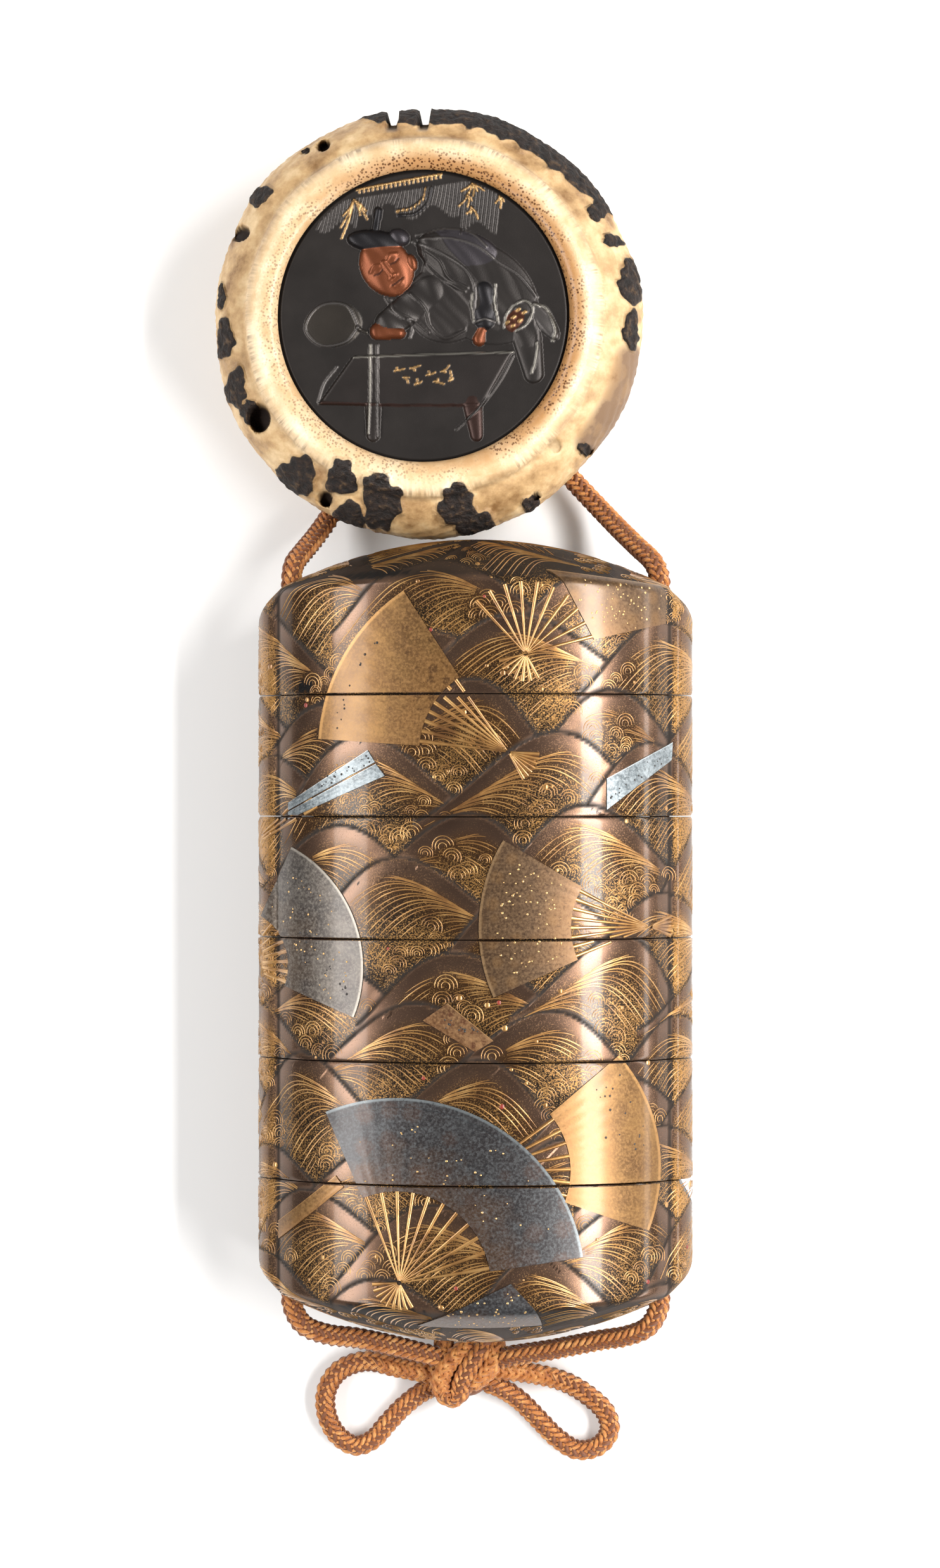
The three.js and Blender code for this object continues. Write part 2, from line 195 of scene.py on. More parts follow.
def ring_faces(rings, count, closed=True, start=0):
    columns = np.arange(count if closed else count - 1)
    rows = np.arange(rings - 1)[:, None] * count + start
    following = (columns + 1) % count
    faces = np.stack([rows + columns, rows + following,
                      rows + count + following, rows + count + columns], axis=-1)
    return faces.reshape(-1, 4)


def closed_stack(rings):
    """A stack of rings with a fan of triangles over each end, round the end's own middle."""
    count = len(rings[0])
    last, middle = (len(rings) - 1) * count, len(rings) * count
    here = np.arange(count)
    following = np.roll(here, -1)
    low = np.stack([following, here, 0 * here + middle], axis=-1)
    high = np.stack([here + last, following + last, 0 * here + middle + 1], axis=-1)
    points = np.vstack([*rings, rings[0].mean(axis=0), rings[-1].mean(axis=0)])
    return points, ring_faces(len(rings), count).tolist() + low.tolist() + high.tolist()


def new_piece(name, points, faces, material, sharp_above=None):
    mesh = bpy.data.meshes.new(name)
    mesh.from_pydata((np.asarray(points) * MM).tolist(), [], [list(face) for face in faces])
    mesh.update()
    mesh.materials.append(material)
    mesh.polygons.foreach_set("use_smooth", [True] * len(mesh.polygons))
    if sharp_above:
        mesh.set_sharp_from_angle(angle=math.radians(sharp_above))
    piece = bpy.data.objects.new(name, mesh)
    bpy.context.scene.collection.objects.link(piece)
    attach(piece, "root")
    print(name, len(faces), "faces")
    return piece


def add_attributes(piece, kind="FLOAT", field="value", **layers):
    for name, values in layers.items():
        layer = piece.data.attributes.new(name, kind, "POINT")
        layer.data.foreach_set(field, np.asarray(values, dtype=np.float32).ravel())


# %% Numbers, edges and curves
# millimetres: farther than any distance that is asked about
FAR = 9.0


def smoothstep(low, high, value):
    share = np.clip((value - low) / (high - low), 0, 1)
    return share * share * (3 - 2 * share)


def run_of(points):
    """Distance along a line of points, from its start."""
    return np.concatenate([[0], np.cumsum(np.linalg.norm(np.diff(points, axis=0), axis=1))])


def inside_of(corners, x, y):
    """Distance inward from the nearest edge of a shape whose corners turn left."""
    inward = np.full(x.shape, FAR)
    for start, end in zip(np.array(corners), np.roll(corners, -1, axis=0)):
        edge = end - start
        off = (edge[0] * (y - start[1]) - edge[1] * (x - start[0])) / np.hypot(*edge)
        inward = np.minimum(inward, off)
    return inward


def smooth_through(points, step):
    """A smooth curve through points with a corner at none of them, in even steps."""
    points = np.asarray(points, float)
    whole = np.vstack([2 * points[0] - points[1], points, 2 * points[-1] - points[-2]])
    knots = np.concatenate([[0], np.cumsum(np.linalg.norm(np.diff(whole, axis=0), axis=1) ** 0.5)])
    fine = [points[:1]]
    for i in range(1, len(whole) - 2):
        t0, t1, t2, t3 = knots[i - 1:i + 3]
        p0, p1, p2, p3 = whole[i - 1:i + 3]
        t = np.linspace(t1, t2, 41)[1:, None]
        a1 = ((t1 - t) * p0 + (t - t0) * p1) / (t1 - t0)
        a2 = ((t2 - t) * p1 + (t - t1) * p2) / (t2 - t1)
        a3 = ((t3 - t) * p2 + (t - t2) * p3) / (t3 - t2)
        b1 = ((t2 - t) * a1 + (t - t0) * a2) / (t2 - t0)
        b2 = ((t3 - t) * a2 + (t - t1) * a3) / (t3 - t1)
        fine.append(((t2 - t) * b1 + (t - t1) * b2) / (t2 - t1))
    fine = np.concatenate(fine)
    far = run_of(fine)
    even = np.linspace(0, far[-1], max(2, round(far[-1] / step) + 1))
    return np.stack([np.interp(even, far, fine[:, axis]) for axis in range(fine.shape[1])], axis=1)


# %% [markdown]
# ## The surface of the case
#
# The case is an oval bar with a round cord runner on each side and a shallow dome at each
# end. Every picture on it bends round that shape, so one function carries a flat drawing
# onto it: `s` is the distance round the case from the middle of the front, `v` the
# distance along it, which goes on over the ridge and up the dome, and `lift` the height
# above the lacquer.

# %% Outline of the case
BODY_HALF_WIDTH = 22.9
BACK_DEPTH = 12.3
RUNNER_RADIUS = 4.2
RUNNER_CENTRE = 20.05
DOME_RADIUS = 44.3
DOME_FRONT_DROP = 4.65
RIDGE_ROUND = 0.7
RUNNER_END = {"start": 21.4, "slope": 0.52, "corner": 23.6, "fall": 1.06}


def groove(depth):
    """Where the oval meets the runner: the angle on each."""
    ratio = (depth / BODY_HALF_WIDTH) ** 2
    product = depth ** 2 - RUNNER_RADIUS ** 2 + RUNNER_CENTRE ** 2
    x = (RUNNER_CENTRE - math.sqrt(RUNNER_CENTRE ** 2 - (1 - ratio) * product)) / (1 - ratio)
    z = math.sqrt(RUNNER_RADIUS ** 2 - (x - RUNNER_CENTRE) ** 2)
    return math.acos(x / BODY_HALF_WIDTH), math.atan2(z, x - RUNNER_CENTRE)


def right_half():
    front_oval, front_runner = groove(HALF_DEPTH)
    back_oval, back_runner = groove(BACK_DEPTH)
    front = np.linspace(math.pi / 2, front_oval, 600)
    runner = np.linspace(front_runner, -back_runner, 200)
    back = np.linspace(-back_oval, -math.pi / 2, 600)
    x = np.concatenate([BODY_HALF_WIDTH * np.cos(front), RUNNER_CENTRE + RUNNER_RADIUS * np.cos(runner),
                        BODY_HALF_WIDTH * np.cos(back)])
    z = np.concatenate([HALF_DEPTH * np.sin(front), RUNNER_RADIUS * np.sin(runner),
                        np.maximum(BACK_DEPTH * np.sin(back), -HALF_DEPTH)])
    return x, z


right_x, right_z = right_half()
outline_x = np.concatenate([-right_x[:0:-1], right_x])
outline_z = np.concatenate([right_z[:0:-1], right_z])
outline_s = run_of(np.stack([outline_x, outline_z], axis=-1))
GIRTH = outline_s[-1]
outline_s -= GIRTH / 2
front_part = slice(np.argmin(outline_x), np.argmax(outline_x) + 1)


def around(s, centre):
    return (s - centre + GIRTH / 2) % GIRTH - GIRTH / 2


def outline(s):
    s = around(s, 0)
    return np.interp(s, outline_s, outline_x), np.interp(s, outline_s, outline_z)


def s_at(x):
    return np.interp(x, outline_x[front_part], outline_s[front_part])


# %% Surface of the case
def dome_height(x, z):
    side = np.abs(x)
    cut = (RUNNER_END["slope"] * np.maximum(0, side - RUNNER_END["start"])
           + RUNNER_END["fall"] * np.maximum(0, side - RUNNER_END["corner"]) ** 2)
    return HALF_LENGTH - x ** 2 / (2 * DOME_RADIUS) - DOME_FRONT_DROP * (z / HALF_DEPTH) ** 2 - cut


def ridge(s):
    return dome_height(*outline(s))


def reach(s):
    x, _ = outline(s)
    return HALF_DEPTH + (BODY_HALF_WIDTH - HALF_DEPTH) * (x / BODY_HALF_WIDTH) ** 2


def surface(s, v):
    s, v = np.broadcast_arrays(np.asarray(s, float), np.asarray(v, float))
    x, z = outline(s)
    edge, far, along = ridge(s), reach(s), np.abs(v)
    turn = np.clip((along - edge + RIDGE_ROUND) / (2 * RIDGE_ROUND), 0, 1)
    past = along > edge + RIDGE_ROUND
    scale = np.clip(1 - np.where(past, along - edge, RIDGE_ROUND * turn ** 2) / far, 0, 1)
    inner = 1 - RIDGE_ROUND / far
    bend = ((1 - turn) ** 2 * (edge - RIDGE_ROUND) + 2 * turn * (1 - turn) * edge
            + turn ** 2 * dome_height(x * inner, z * inner))
    y = np.where(turn <= 0, along, np.where(past, dome_height(x * scale, z * scale), bend))
    return np.stack([x * scale, np.sign(v) * y, MID_HEIGHT + z * scale], axis=-1)


def place(s, v, lift=0.0):
    step = 0.05
    s, v = np.broadcast_arrays(np.asarray(s, float), np.asarray(v, float))
    across = surface(s + step, v) - surface(s - step, v)
    along = surface(s, v + step) - surface(s, v - step)
    normal = np.cross(across, along)
    normal /= np.linalg.norm(normal, axis=-1, keepdims=True) + 1e-12
    return surface(s, v) + normal * np.asarray(lift, float)[..., None]


print("girth of the case", round(GIRTH, 1), "mm")

# %% [markdown]
# ## The waves
#
# The sea is rows of rounded hills, each row in front of the last, as wave patterns have
# been drawn for centuries. Each hill has a smooth plum-brown crest. Below the crest, fine
# gold lines sweep down from one shoulder, and in the troughs behind it the foam curls.
# The hills are laid out once, from a fixed seed, and everything else asks them which hill
# a point belongs to and how far below its crest the point is.

# %% Hills
FIRST_ROW, LAST_ROW = 55, -70
ROW_PITCH = 7.1
HILL_PITCH = 15.6
BAND_WIDTH = 2.0


def lay_hills():
    per_row = round(GIRTH / HILL_PITCH)
    laid = []
    for row, base in enumerate(np.arange(FIRST_ROW, LAST_ROW, -ROW_PITCH)):
        for index in range(per_row):
            shift = (index + 0.5 * (row % 2)) / per_row * GIRTH - GIRTH / 2
            laid.append({
                "s": shift + random.uniform(-2.4, 2.4),
                "base": base + random.uniform(-1.8, 1.8),
                "half": random.uniform(10.8, 14.2),
                "height": random.uniform(7.6, 10.2),
                "lean": random.choice([-1, 1], p=[0.3, 0.7]),
            })
    return laid


def crest(hill, u):
    bent = np.clip(u + 0.16 * hill["lean"] * (1 - u ** 2), -1, 1)
    return hill["base"] + hill["height"] * np.cos(bent * math.pi / 2) ** 1.25


def crest_slope(hill, u):
    step = 0.02
    return (crest(hill, u + step) - crest(hill, u - step)) / (2 * step * hill["half"])


def band_width(side):
    """Width of the smooth band under a crest: full at the top, thin where the lines meet."""
    return BAND_WIDTH * (1 - 0.7 * smoothstep(0.0, 0.9, side)) * (1 - 0.35 * smoothstep(0.2, 0.9, -side))


def read_sea(s, v):
    """For each point: its hill, depth below that crest, height over the next, and side."""
    owner = np.full(s.shape, -1)
    below, above, side = (np.full(s.shape, far) for far in (FAR, FAR, 0.0))
    for index, hill in enumerate(hills):
        u = around(s, hill["s"]) / hill["half"]
        across = np.abs(u) < 1
        safe = np.where(across, u, 0)
        drop = (crest(hill, safe) - v) / np.sqrt(1 + crest_slope(hill, safe) ** 2)
        covered, behind = across & (drop > 0), across & (drop <= 0)
        owner[covered] = index
        below[covered] = drop[covered]
        side[covered] = (safe * hill["lean"])[covered]
        above[covered] = FAR
        above[behind] = np.minimum(above, -drop)[behind]
    return owner, below, above, side


hills = lay_hills()
print(len(hills), "hills round the case")

# %% [markdown]
# ## The lacquered skins
#
# Each box is turned from thin wood, lacquered black and polished, then decorated while the
# last coat is wet. Its skin is a stack of rings that starts in the recess underneath,
# comes out round the lower edge, climbs the outside, goes back in over the riser and ends
# on the floor of the box, so the piece stays one closed solid like the real one. The edges
# at the seams are eased a little, as handling eases lacquer.

# %% Rings of a box
SKIN_STEP = 0.29
BACK_STEP = 0.8
EDGE_EASE = 0.12
RISER_HEIGHT = case_high[1] - SEAMS[1]
RECESS_DEPTH = 4.0
FLOOR = 1.2
DOME_SHELL = 1.5
INSIDE = {"half_width": 17.2, "half_depth": 9.8, "squareness": 2.6}
RISER_WALL = 0.8
RISER_FIT = 0.3
SKIN_GAP = 0.12

front_reach = s_at(outline_x.max()) + 3
COLUMNS = np.concatenate([np.arange(-front_reach, front_reach, SKIN_STEP),
                          np.arange(front_reach, GIRTH - front_reach, BACK_STEP)])


def inside_ring(margin, y):
    x, z = outline(COLUMNS)
    angle = np.arctan2(z / HALF_DEPTH, x / BODY_HALF_WIDTH)
    wide, deep = (np.sign(share) * np.abs(share) ** (2 / INSIDE["squareness"])
                  for share in (np.cos(angle), np.sin(angle)))
    x, z = (INSIDE["half_width"] + margin) * wide, (INSIDE["half_depth"] + margin) * deep
    height = y(x, z) if callable(y) else np.full_like(x, y)
    return np.stack([x, height, MID_HEIGHT + z], axis=-1)


def skin_rows(low, high=None):
    """Distances along the case of a box's rows; without an upper end, up to a dome's crown."""
    if high is not None:
        steps = round((high - low) / SKIN_STEP)
        return [np.full(len(COLUMNS), v) for v in np.linspace(low, high, steps + 1)]
    top, span = ridge(COLUMNS), reach(COLUMNS) - RIDGE_ROUND
    edge = top - RIDGE_ROUND
    steps = round((edge.max() - low) / SKIN_STEP)
    return ([low + (edge - low) * share for share in np.linspace(0, 1, steps)[:-1]]
            + [top + offset for offset in np.linspace(-RIDGE_ROUND, RIDGE_ROUND, 7)]
            + [top + RIDGE_ROUND + share * span for share in np.linspace(0, 0.98, 42)[1:]])


def dome_inside(x, z):
    return dome_height(x, z) - DOME_SHELL


def box_rings(index):
    """The rings of one box: those underneath, the decorated rows, and those of the riser."""
    top = SEAMS[index - 1] - SKIN_GAP / 2 if index else None
    bottom = SEAMS[index] + SKIN_GAP / 2 if index < len(SEAMS) else None
    recess = RISER_WALL + RISER_FIT
    if index == 0:
        return [inside_ring(recess, dome_inside), inside_ring(recess, bottom)], skin_rows(bottom), []
    if index == len(SEAMS):
        inner, rows = [], [-row for row in skin_rows(-top)][::-1]
        floor = lambda x, z: -dome_inside(x, z)
    else:
        ceiling = SEAMS[index] + RECESS_DEPTH
        inner, rows = [inside_ring(recess, ceiling), inside_ring(recess, bottom)], skin_rows(bottom, top)
        floor = ceiling + FLOOR
    lip = SEAMS[index - 1] + RISER_HEIGHT
    return inner, rows, [inside_ring(margin, y) for margin, y in
                         ((RISER_WALL, top), (RISER_WALL, lip), (0, lip), (0, floor))]


# %% Bores and the lost corner
BORE = {"centre": 20.6, "radius": 1.6, "depth": 2.4}
LOST = {"reach": 1.5, "length": 2.7}


def open_bores(points):
    """Sinks the skin where the cord passes into the runners."""
    for side in (-1, 1):
        away = np.hypot(points[:, 0] - side * BORE["centre"], points[:, 2] - MID_HEIGHT)
        sunk = 1 - smoothstep(BORE["radius"] - 0.25, BORE["radius"] + 0.1, away)
        points[:, 1] -= np.sign(points[:, 1]) * BORE["depth"] * sunk


def break_corner(points, seam):
    """Lays the points of the lost corner onto the plane of the break; tells which they are."""
    limit = RUNNER_CENTRE + RUNNER_RADIUS - LOST["reach"] * (
        1 - np.clip((seam - points[:, 1]) / LOST["length"], 0, 1))
    limit += 0.05 * np.sin(points[:, 1] * 5 + points[:, 2] * 3)
    broken = (points[:, 0] > limit) & (points[:, 1] > seam - LOST["length"])
    points[broken, 0] = limit[broken]
    return broken


# %% Mesh of a box
# a distance along the case that no mark reaches, for the points that are out of sight
UNSEEN = 99.0


def build_box(index, material):
    inner, rows, outer = box_rings(index)
    rows = np.array(rows)
    ease = np.zeros(rows.shape)
    ease[0] = -EDGE_EASE if inner else 0
    ease[-1] = -EDGE_EASE if outer else 0
    rings = [*inner, *place(np.broadcast_to(COLUMNS, rows.shape), rows, ease), *outer]
    points, faces = closed_stack(rings)
    skin = slice(len(inner) * len(COLUMNS), len(inner) * len(COLUMNS) + rows.size)
    broken = np.zeros(len(points), bool)
    if index in (0, len(SEAMS)):
        open_bores(points[skin])
    if index == len(SEAMS):
        broken[skin] = break_corner(points[skin], SEAMS[-1])
    piece = new_piece(SECTIONS[index] + "_lacquer", points, faces, material, sharp_above=CRISP)
    s, v = np.zeros(len(points)), np.full(len(points), UNSEEN)
    s[skin] = np.broadcast_to(COLUMNS, rows.shape).ravel()
    v[skin] = rows.ravel()
    return piece, s, v, broken


# %% [markdown]
# ### What the skin is told about the sea
#
# The material can't know where the waves are, so each point of a skin carries numbers: how
# much it lies on a smooth crest, how deep in a trough, in painted shade (the dark line behind
# a crest and along its front edge, the groove where the oval meets a runner, and the domes
# at the ends), on the swell of a hill or on a runner, and how far the lacquer has been
# rubbed through to the black ground along the ridges.

# %% Marks on the skins
# across and along the case, and half the size of each rubbed spot
RUBBED = [(-11.7, 40.9, 4.2, 0.75), (-18.6, 28.2, 1.5, 0.75), (-10.6, -40.4, 4.6, 0.9),
          (12.2, -40.6, 3.0, 0.8), (-1.2, -15.8, 0.28, 0.28)]
GROOVE = s_at(BODY_HALF_WIDTH * math.cos(groove(HALF_DEPTH)[0]))


def rubbed(s, v):
    marked = np.zeros(s.shape)
    ragged = 0.22 * np.sin(s * 5.1) + 0.16 * np.sin(s * 11.3 + 1) + 0.1 * np.sin(v * 17)
    for across, along, half_across, half_along in RUBBED:
        distance = np.hypot((s - s_at(across)) / half_across, (v - along) / half_along)
        marked = np.maximum(marked, 1 - smoothstep(0.85, 1.0, distance + ragged))
    return marked


def mark_skin(piece, s, v, broken):
    owner, below, above, side = read_sea(s, v)
    width = band_width(side)
    open_water = owner < 0
    past_groove = np.abs(s) - GROOVE
    on_crest = smoothstep(0.0, 0.3, below) * (1 - smoothstep(0.4 * width, 1.5 * width, below))
    in_groove = (1 - smoothstep(0.1, 0.34, np.abs(past_groove))) * (np.abs(v) < UNSEEN - 1)
    on_dome = 0.95 * smoothstep(-0.5, 0.6, np.abs(v) - ridge(s))
    swell = (1 - smoothstep(0.0, 3.4, below)) * (above > FAR - 0.1) + (1 - smoothstep(0.0, 1.4, above))
    add_attributes(
        piece,
        crest=np.where(open_water, 0, on_crest),
        trough=np.where(open_water, 1, smoothstep(2.6, 7.0, below)),
        # painted shade: the shadow mark darkens behind each crest, along its front edge, in the groove by
        # each runner and over the domes
        shadow=np.maximum.reduce([1 - smoothstep(0.0, 0.6, above), 1 - smoothstep(0.0, 0.2, below),
                                  in_groove, on_dome]),
        swell=np.clip(swell, 0, 1),
        runner=smoothstep(0.3, 0.8, past_groove) * (1 - smoothstep(7, 8, past_groove)),
        rubbed=np.maximum(rubbed(s, v), broken))


# %% [markdown]
# ### Lacquer
#
# Gold powder is sieved onto wet lacquer, thinly on the crests and thickly in the troughs,
# and polished down. The eye sees a warm glimmer that comes and goes over a deep brown. A
# fine noise stands for the grains, and the marks say how dense they lie. Real grains are
# finer than the 0.17 mm here, which is as coarse as they have to be to show. The clear
# coat over them gives the deep shine, except in the painted shade: the dark lines behind
# the crests, the grooves by the runners and the domes are painted dark and left dull.

# %% Lacquer
def lacquer_finish():
    material, add, place_in, on_crest, trough, shadow, swell, worn, runner = new_material(
        "maki-e lacquer", "crest", "trough", "shadow", "swell", "rubbed", "runner")
    grains = add("TexNoise", {"Vector": place_in, "Scale": 1 / (0.17 * MM), "Detail": 3, "Roughness": 0.75})
    cloud = add("TexNoise", {"Vector": place_in, "Scale": 1 / (5 * MM), "Detail": 6})
    dense, thin, bare, patchy, smooth, coated = (add("MapRange", dict(zip(RANGE, row))) for row in (
        (trough, 0, 1, 0.01, 0.08), (shadow, 0, 1, 1, 0.1), (shadow, 0, 1, 0, 0.1),
        (cloud, 0.3, 0.7, -0.05, 0.05), (on_crest, 0, 1, 0, 0.88), (shadow, 0, 1, 0.3, 0)))
    dense = add("Math", {0: runner, 1: 0.13, 2: dense}, operation="MULTIPLY_ADD")
    for other, operation in ((bare, "SUBTRACT"), (patchy, "ADD"), (grains, "ADD")):
        dense = add("Math", {0: dense, 1: other}, operation=operation)
    gold = add("MapRange", {"Value": dense, "From Min": 0.56, "From Max": 0.74})
    smooth = add("Math", {0: smooth, 1: thin}, operation="MULTIPLY")
    plum = add("Mix", {"Factor": cloud, "A": "#4c392f", "B": "#735a49"}, data_type="RGBA")
    shown = "#3a2614"
    # painted shade: where the shadow mark lies the ground is painted near-black, with less gold, metal and
    # coat
    for cover, over in ((trough, "#1d140c"), (shadow, "#1c140e"), (gold, "#a77c46"), (smooth, plum),
                        (worn, "#0e0b0a")):
        shown = add("Mix", {"Factor": cover, "A": shown, "B": over}, data_type="RGBA")
    sheen = add("MapRange", {"Value": smooth, "To Min": 0.4, "To Max": 0.9})
    clean = add("Math", {0: 1.0, 1: worn}, operation="SUBTRACT")
    metal = gold
    for other, operation in ((0.8, "MULTIPLY"), (sheen, "MAXIMUM"), (clean, "MULTIPLY"), (thin, "MULTIPLY")):
        metal = add("Math", {0: metal, 1: other}, operation=operation)
    rough = add("MapRange", {"Value": gold, "To Min": 0.24, "To Max": 0.4})
    rough = add("Math", {0: shadow, 1: 0.45, 2: rough}, operation="MULTIPLY_ADD")
    raised = add("Bump", {"Height": swell, "Strength": 1, "Distance": 0.05 * MM})
    bump = add("Bump", {"Height": gold, "Strength": 0.15, "Distance": 0.02 * MM, "Normal": raised})
    return finish_with(material, Base_Color=shown, Metallic=metal, Roughness=rough, Normal=bump,
                       Coat_Weight=coated, Coat_Roughness=0.08, Specular_IOR_Level=0.25)


# %% [markdown]
# ### The six boxes
#
# With the rings, the marks and the lacquer at hand, each box takes one turn of a loop.

# %% The six boxes
LACQUER = lacquer_finish()
for index, name in enumerate(SECTIONS):
    piece, s, v, broken = build_box(index, LACQUER)
    mark_skin(piece, s, v, broken)
    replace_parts(piece, name)

# %% [markdown]
# ## Folding fans
#
# Fans that courtiers dropped into a river are an old subject. Here each is laid on in
# powder a little above the waves: gold or silver for the paper leaf, gold for the bamboo
# ribs. A leaf is a ring sector round its pivot, or a narrow board where the fan is shut.
# Places are millimetres across and along the front of the case, and angles are degrees
# from the right, turning left.

# %% Fans
OPEN_LEAVES = [
    {"finish": "gold", "pivot": (4.1, 21.0), "angles": (123, 176), "radii": (9.7, 21.0),
     "figured_right_of": [(-9.5, 22.4), (-7.8, 36.6)]},
    {"finish": "brown", "pivot": (19.5, 1.8), "angles": (149, 204), "radii": (8.6, 18.6), "flakes": 70},
    {"finish": "pewter", "pivot": (-26.4, -2.6), "angles": (-22, 64), "radii": (6.0, 14.6), "flakes": 46},
    {"finish": "gold", "pivot": (1.25, -24.7), "angles": (-21, 40), "radii": (9.6, 19.4), "figures": 0},
    {"finish": "silver", "pivot": (-7.8, -37.0), "angles": (8, 114), "radii": (10.0, 20.2), "flakes": 34},
]
SHUT_LEAVES = [
    {"finish": "brown", "corners": [(13.4, 33.3), (21.2, 35.2), (21.2, 39.6), (9.2, 41.4)], "flakes": 60},
    {"finish": "pale_silver", "corners": [(-20.4, 13.6), (-9.4, 18.4), (-10.4, 19.7), (-20.4, 14.4)]},
    {"finish": "pale_silver", "corners": [(-20.4, 14.6), (-10.5, 19.9), (-11.3, 21.2), (-20.4, 15.4)]},
    {"finish": "pale_silver", "corners": [(14.8, 14.7), (21.9, 20.2), (22.0, 22.1), (14.8, 18.1)]},
    {"finish": "rose_gold", "corners": [(-5.2, -8.3), (0.5, -11.7), (2.5, -10.5), (-2.5, -6.4)]},
    {"finish": "silver", "corners": [(-7.6, -42.9), (9.8, -42.9), (4.4, -37.0)], "flakes": 40},
    {"finish": "gold", "corners": [(-21.6, -33.0), (-14.0, -26.7), (-14.9, -25.5), (-21.6, -31.0)],
     "figures": 0},
]
ALL_LEAVES = OPEN_LEAVES + SHUT_LEAVES
LEAF_LIFT = 0.14
PLEAT_LIFT = 0.012
PLEAT_TURN = 5.5


def is_covered(s, v):
    """True where a fan's leaf hides the waves."""
    x, _ = outline(s)
    hidden = np.zeros(x.shape, bool)
    for leaf in OPEN_LEAVES:
        dx, dy = x - leaf["pivot"][0], v - leaf["pivot"][1]
        (low, high), (inner, outer) = leaf["angles"], leaf["radii"]
        turn, radius = (np.degrees(np.arctan2(dy, dx)) - low) % 360, np.hypot(dx, dy)
        hidden |= (turn < high - low) & (radius > inner) & (radius < outer)
    for leaf in SHUT_LEAVES:
        hidden |= inside_of(leaf["corners"], x, v) > 0
    return hidden & (np.abs(s) < s_at(outline_x.max()))


print(len(ALL_LEAVES), "fan leaves")

# %% [markdown]
# ## Laying a drawing on the boxes
#
# A line of gold crosses from box to box, and the real ones are cut through at each seam.
# So every stroke is drawn once over the whole case, then shared out among the boxes, with
# a break at each seam. A stroke is a ribbon whose middle stands a little proud.

# %% Strokes
THIN = {"across": [-1.0, 0.0, 1.0], "lift": [-0.02, 1.0, -0.02]}
BAR = {"across": [-1.0, -0.72, 0.72, 1.0], "lift": [-0.02, 1.0, 1.0, -0.02]}
SEAM_CLEARANCE = 0.17


def section_of(v):
    """Index of the box at each distance along the case, or -1 in the gap at a seam."""
    gap = np.min([np.abs(v - seam) for seam in SEAMS], axis=0) < SEAM_CLEARANCE
    return np.where(gap, -1, sum((v < seam).astype(int) for seam in SEAMS))


def ribbon(s, v, width, profile, lift):
    """Rows of points across a stroke, as distances round and along the case, and lifts."""
    ds, dv = np.gradient(s), np.gradient(v)
    size = np.hypot(ds, dv) + 1e-9
    wide = width[:, None] * np.array(profile["across"]) / 2
    rise = np.array(profile["lift"])
    return (s[:, None] - dv[:, None] / size[:, None] * wide, v[:, None] + ds[:, None] / size[:, None] * wide,
            np.broadcast_to(np.where(rise > 0, lift * rise, rise), wide.shape))


def share_out(strokes):
    """Cuts each stroke at the seams and where it is hidden; gives ribbons for each box."""
    shares = [[] for _ in SECTIONS]
    for stroke in strokes:
        s, v = stroke["s"], stroke["v"]
        keys = np.where(stroke["shown"], section_of(v), -1)
        bounds = [0, *(np.flatnonzero(np.diff(keys)) + 1).tolist(), len(keys)]
        for start, end in zip(bounds[:-1], bounds[1:]):
            if keys[start] < 0 or end - start < 3:
                continue
            width = np.broadcast_to(stroke["width"], s.shape)[start:end].copy()
            if stroke.get("taper", True):
                steps = np.arange(end - start)
                width *= np.clip((np.minimum(steps, steps[::-1]) + 1.2) / 3.5, 0.3, 1)
            shares[keys[start]].append(ribbon(s[start:end], v[start:end], width,
                                              stroke.get("profile", THIN), stroke.get("lift", 0.06)))
    return shares


def lay_strokes(name, strokes, material):
    for section, ribbons in zip(SECTIONS, share_out(strokes)):
        if not ribbons:
            continue
        faces, start = [], 0
        for s, _, _ in ribbons:
            faces.append(ring_faces(len(s), s.shape[1], False, start)[:, ::-1])
            start += s.size
        flat = [np.concatenate([part[i].ravel() for part in ribbons]) for i in range(3)]
        new_piece(f"{section}_{name}", place(*flat), np.concatenate(faces).tolist(), material)


# %% [markdown]
# ### Gold lines on the waves
#
# On each hill the lines start one below another along the falling shoulder. Every line
# leaves the smooth band at a slant, arches over, and sweeps down the other flank, so the
# lines crowd together on the shoulder and run side by side on the flank. They are all the
# same stroke moved along the shoulder, mostly in close pairs.

# %% Wave lines
LINE_STEP = 0.4
ARCH_SPAN = 3.4


def wave_stroke(hill, length):
    """One stroke from the shoulder over the arch and down the flank, from its own start."""
    t = np.arange(0, length, LINE_STEP)
    lean, top = hill["lean"], crest(hill, 0.0)
    rising = 0.3 * (crest(hill, lean * 0.5 * np.clip(1 - t / ARCH_SPAN, 0, 1)) - crest(hill, lean * 0.5))
    falling = crest(hill, -lean * np.clip((t - ARCH_SPAN) / hill["half"], 0, 0.98)) - top
    return -lean * t, rising + falling


def wave_lines():
    strokes = []
    for index, hill in enumerate(hills):
        along = 0.12 + random.uniform(0, 0.05)
        close = False
        while along < 0.96:
            ds, dv = wave_stroke(hill, (ARCH_SPAN + hill["half"]) * random.uniform(0.72, 1.0))
            u = along * hill["lean"]
            inset = band_width(along) * math.sqrt(1 + crest_slope(hill, u) ** 2) + 0.15
            strokes.append({"s": hill["s"] + u * hill["half"] + ds, "v": crest(hill, u) - inset + dv,
                            "width": random.uniform(0.12, 0.19), "hill": index})
            close = not close
            gap = 0.42 if close else random.uniform(0.6, 0.95)
            along += gap * (1 if abs(hill["s"]) < front_reach + 4 else 1.8) / hill["half"]
    return strokes


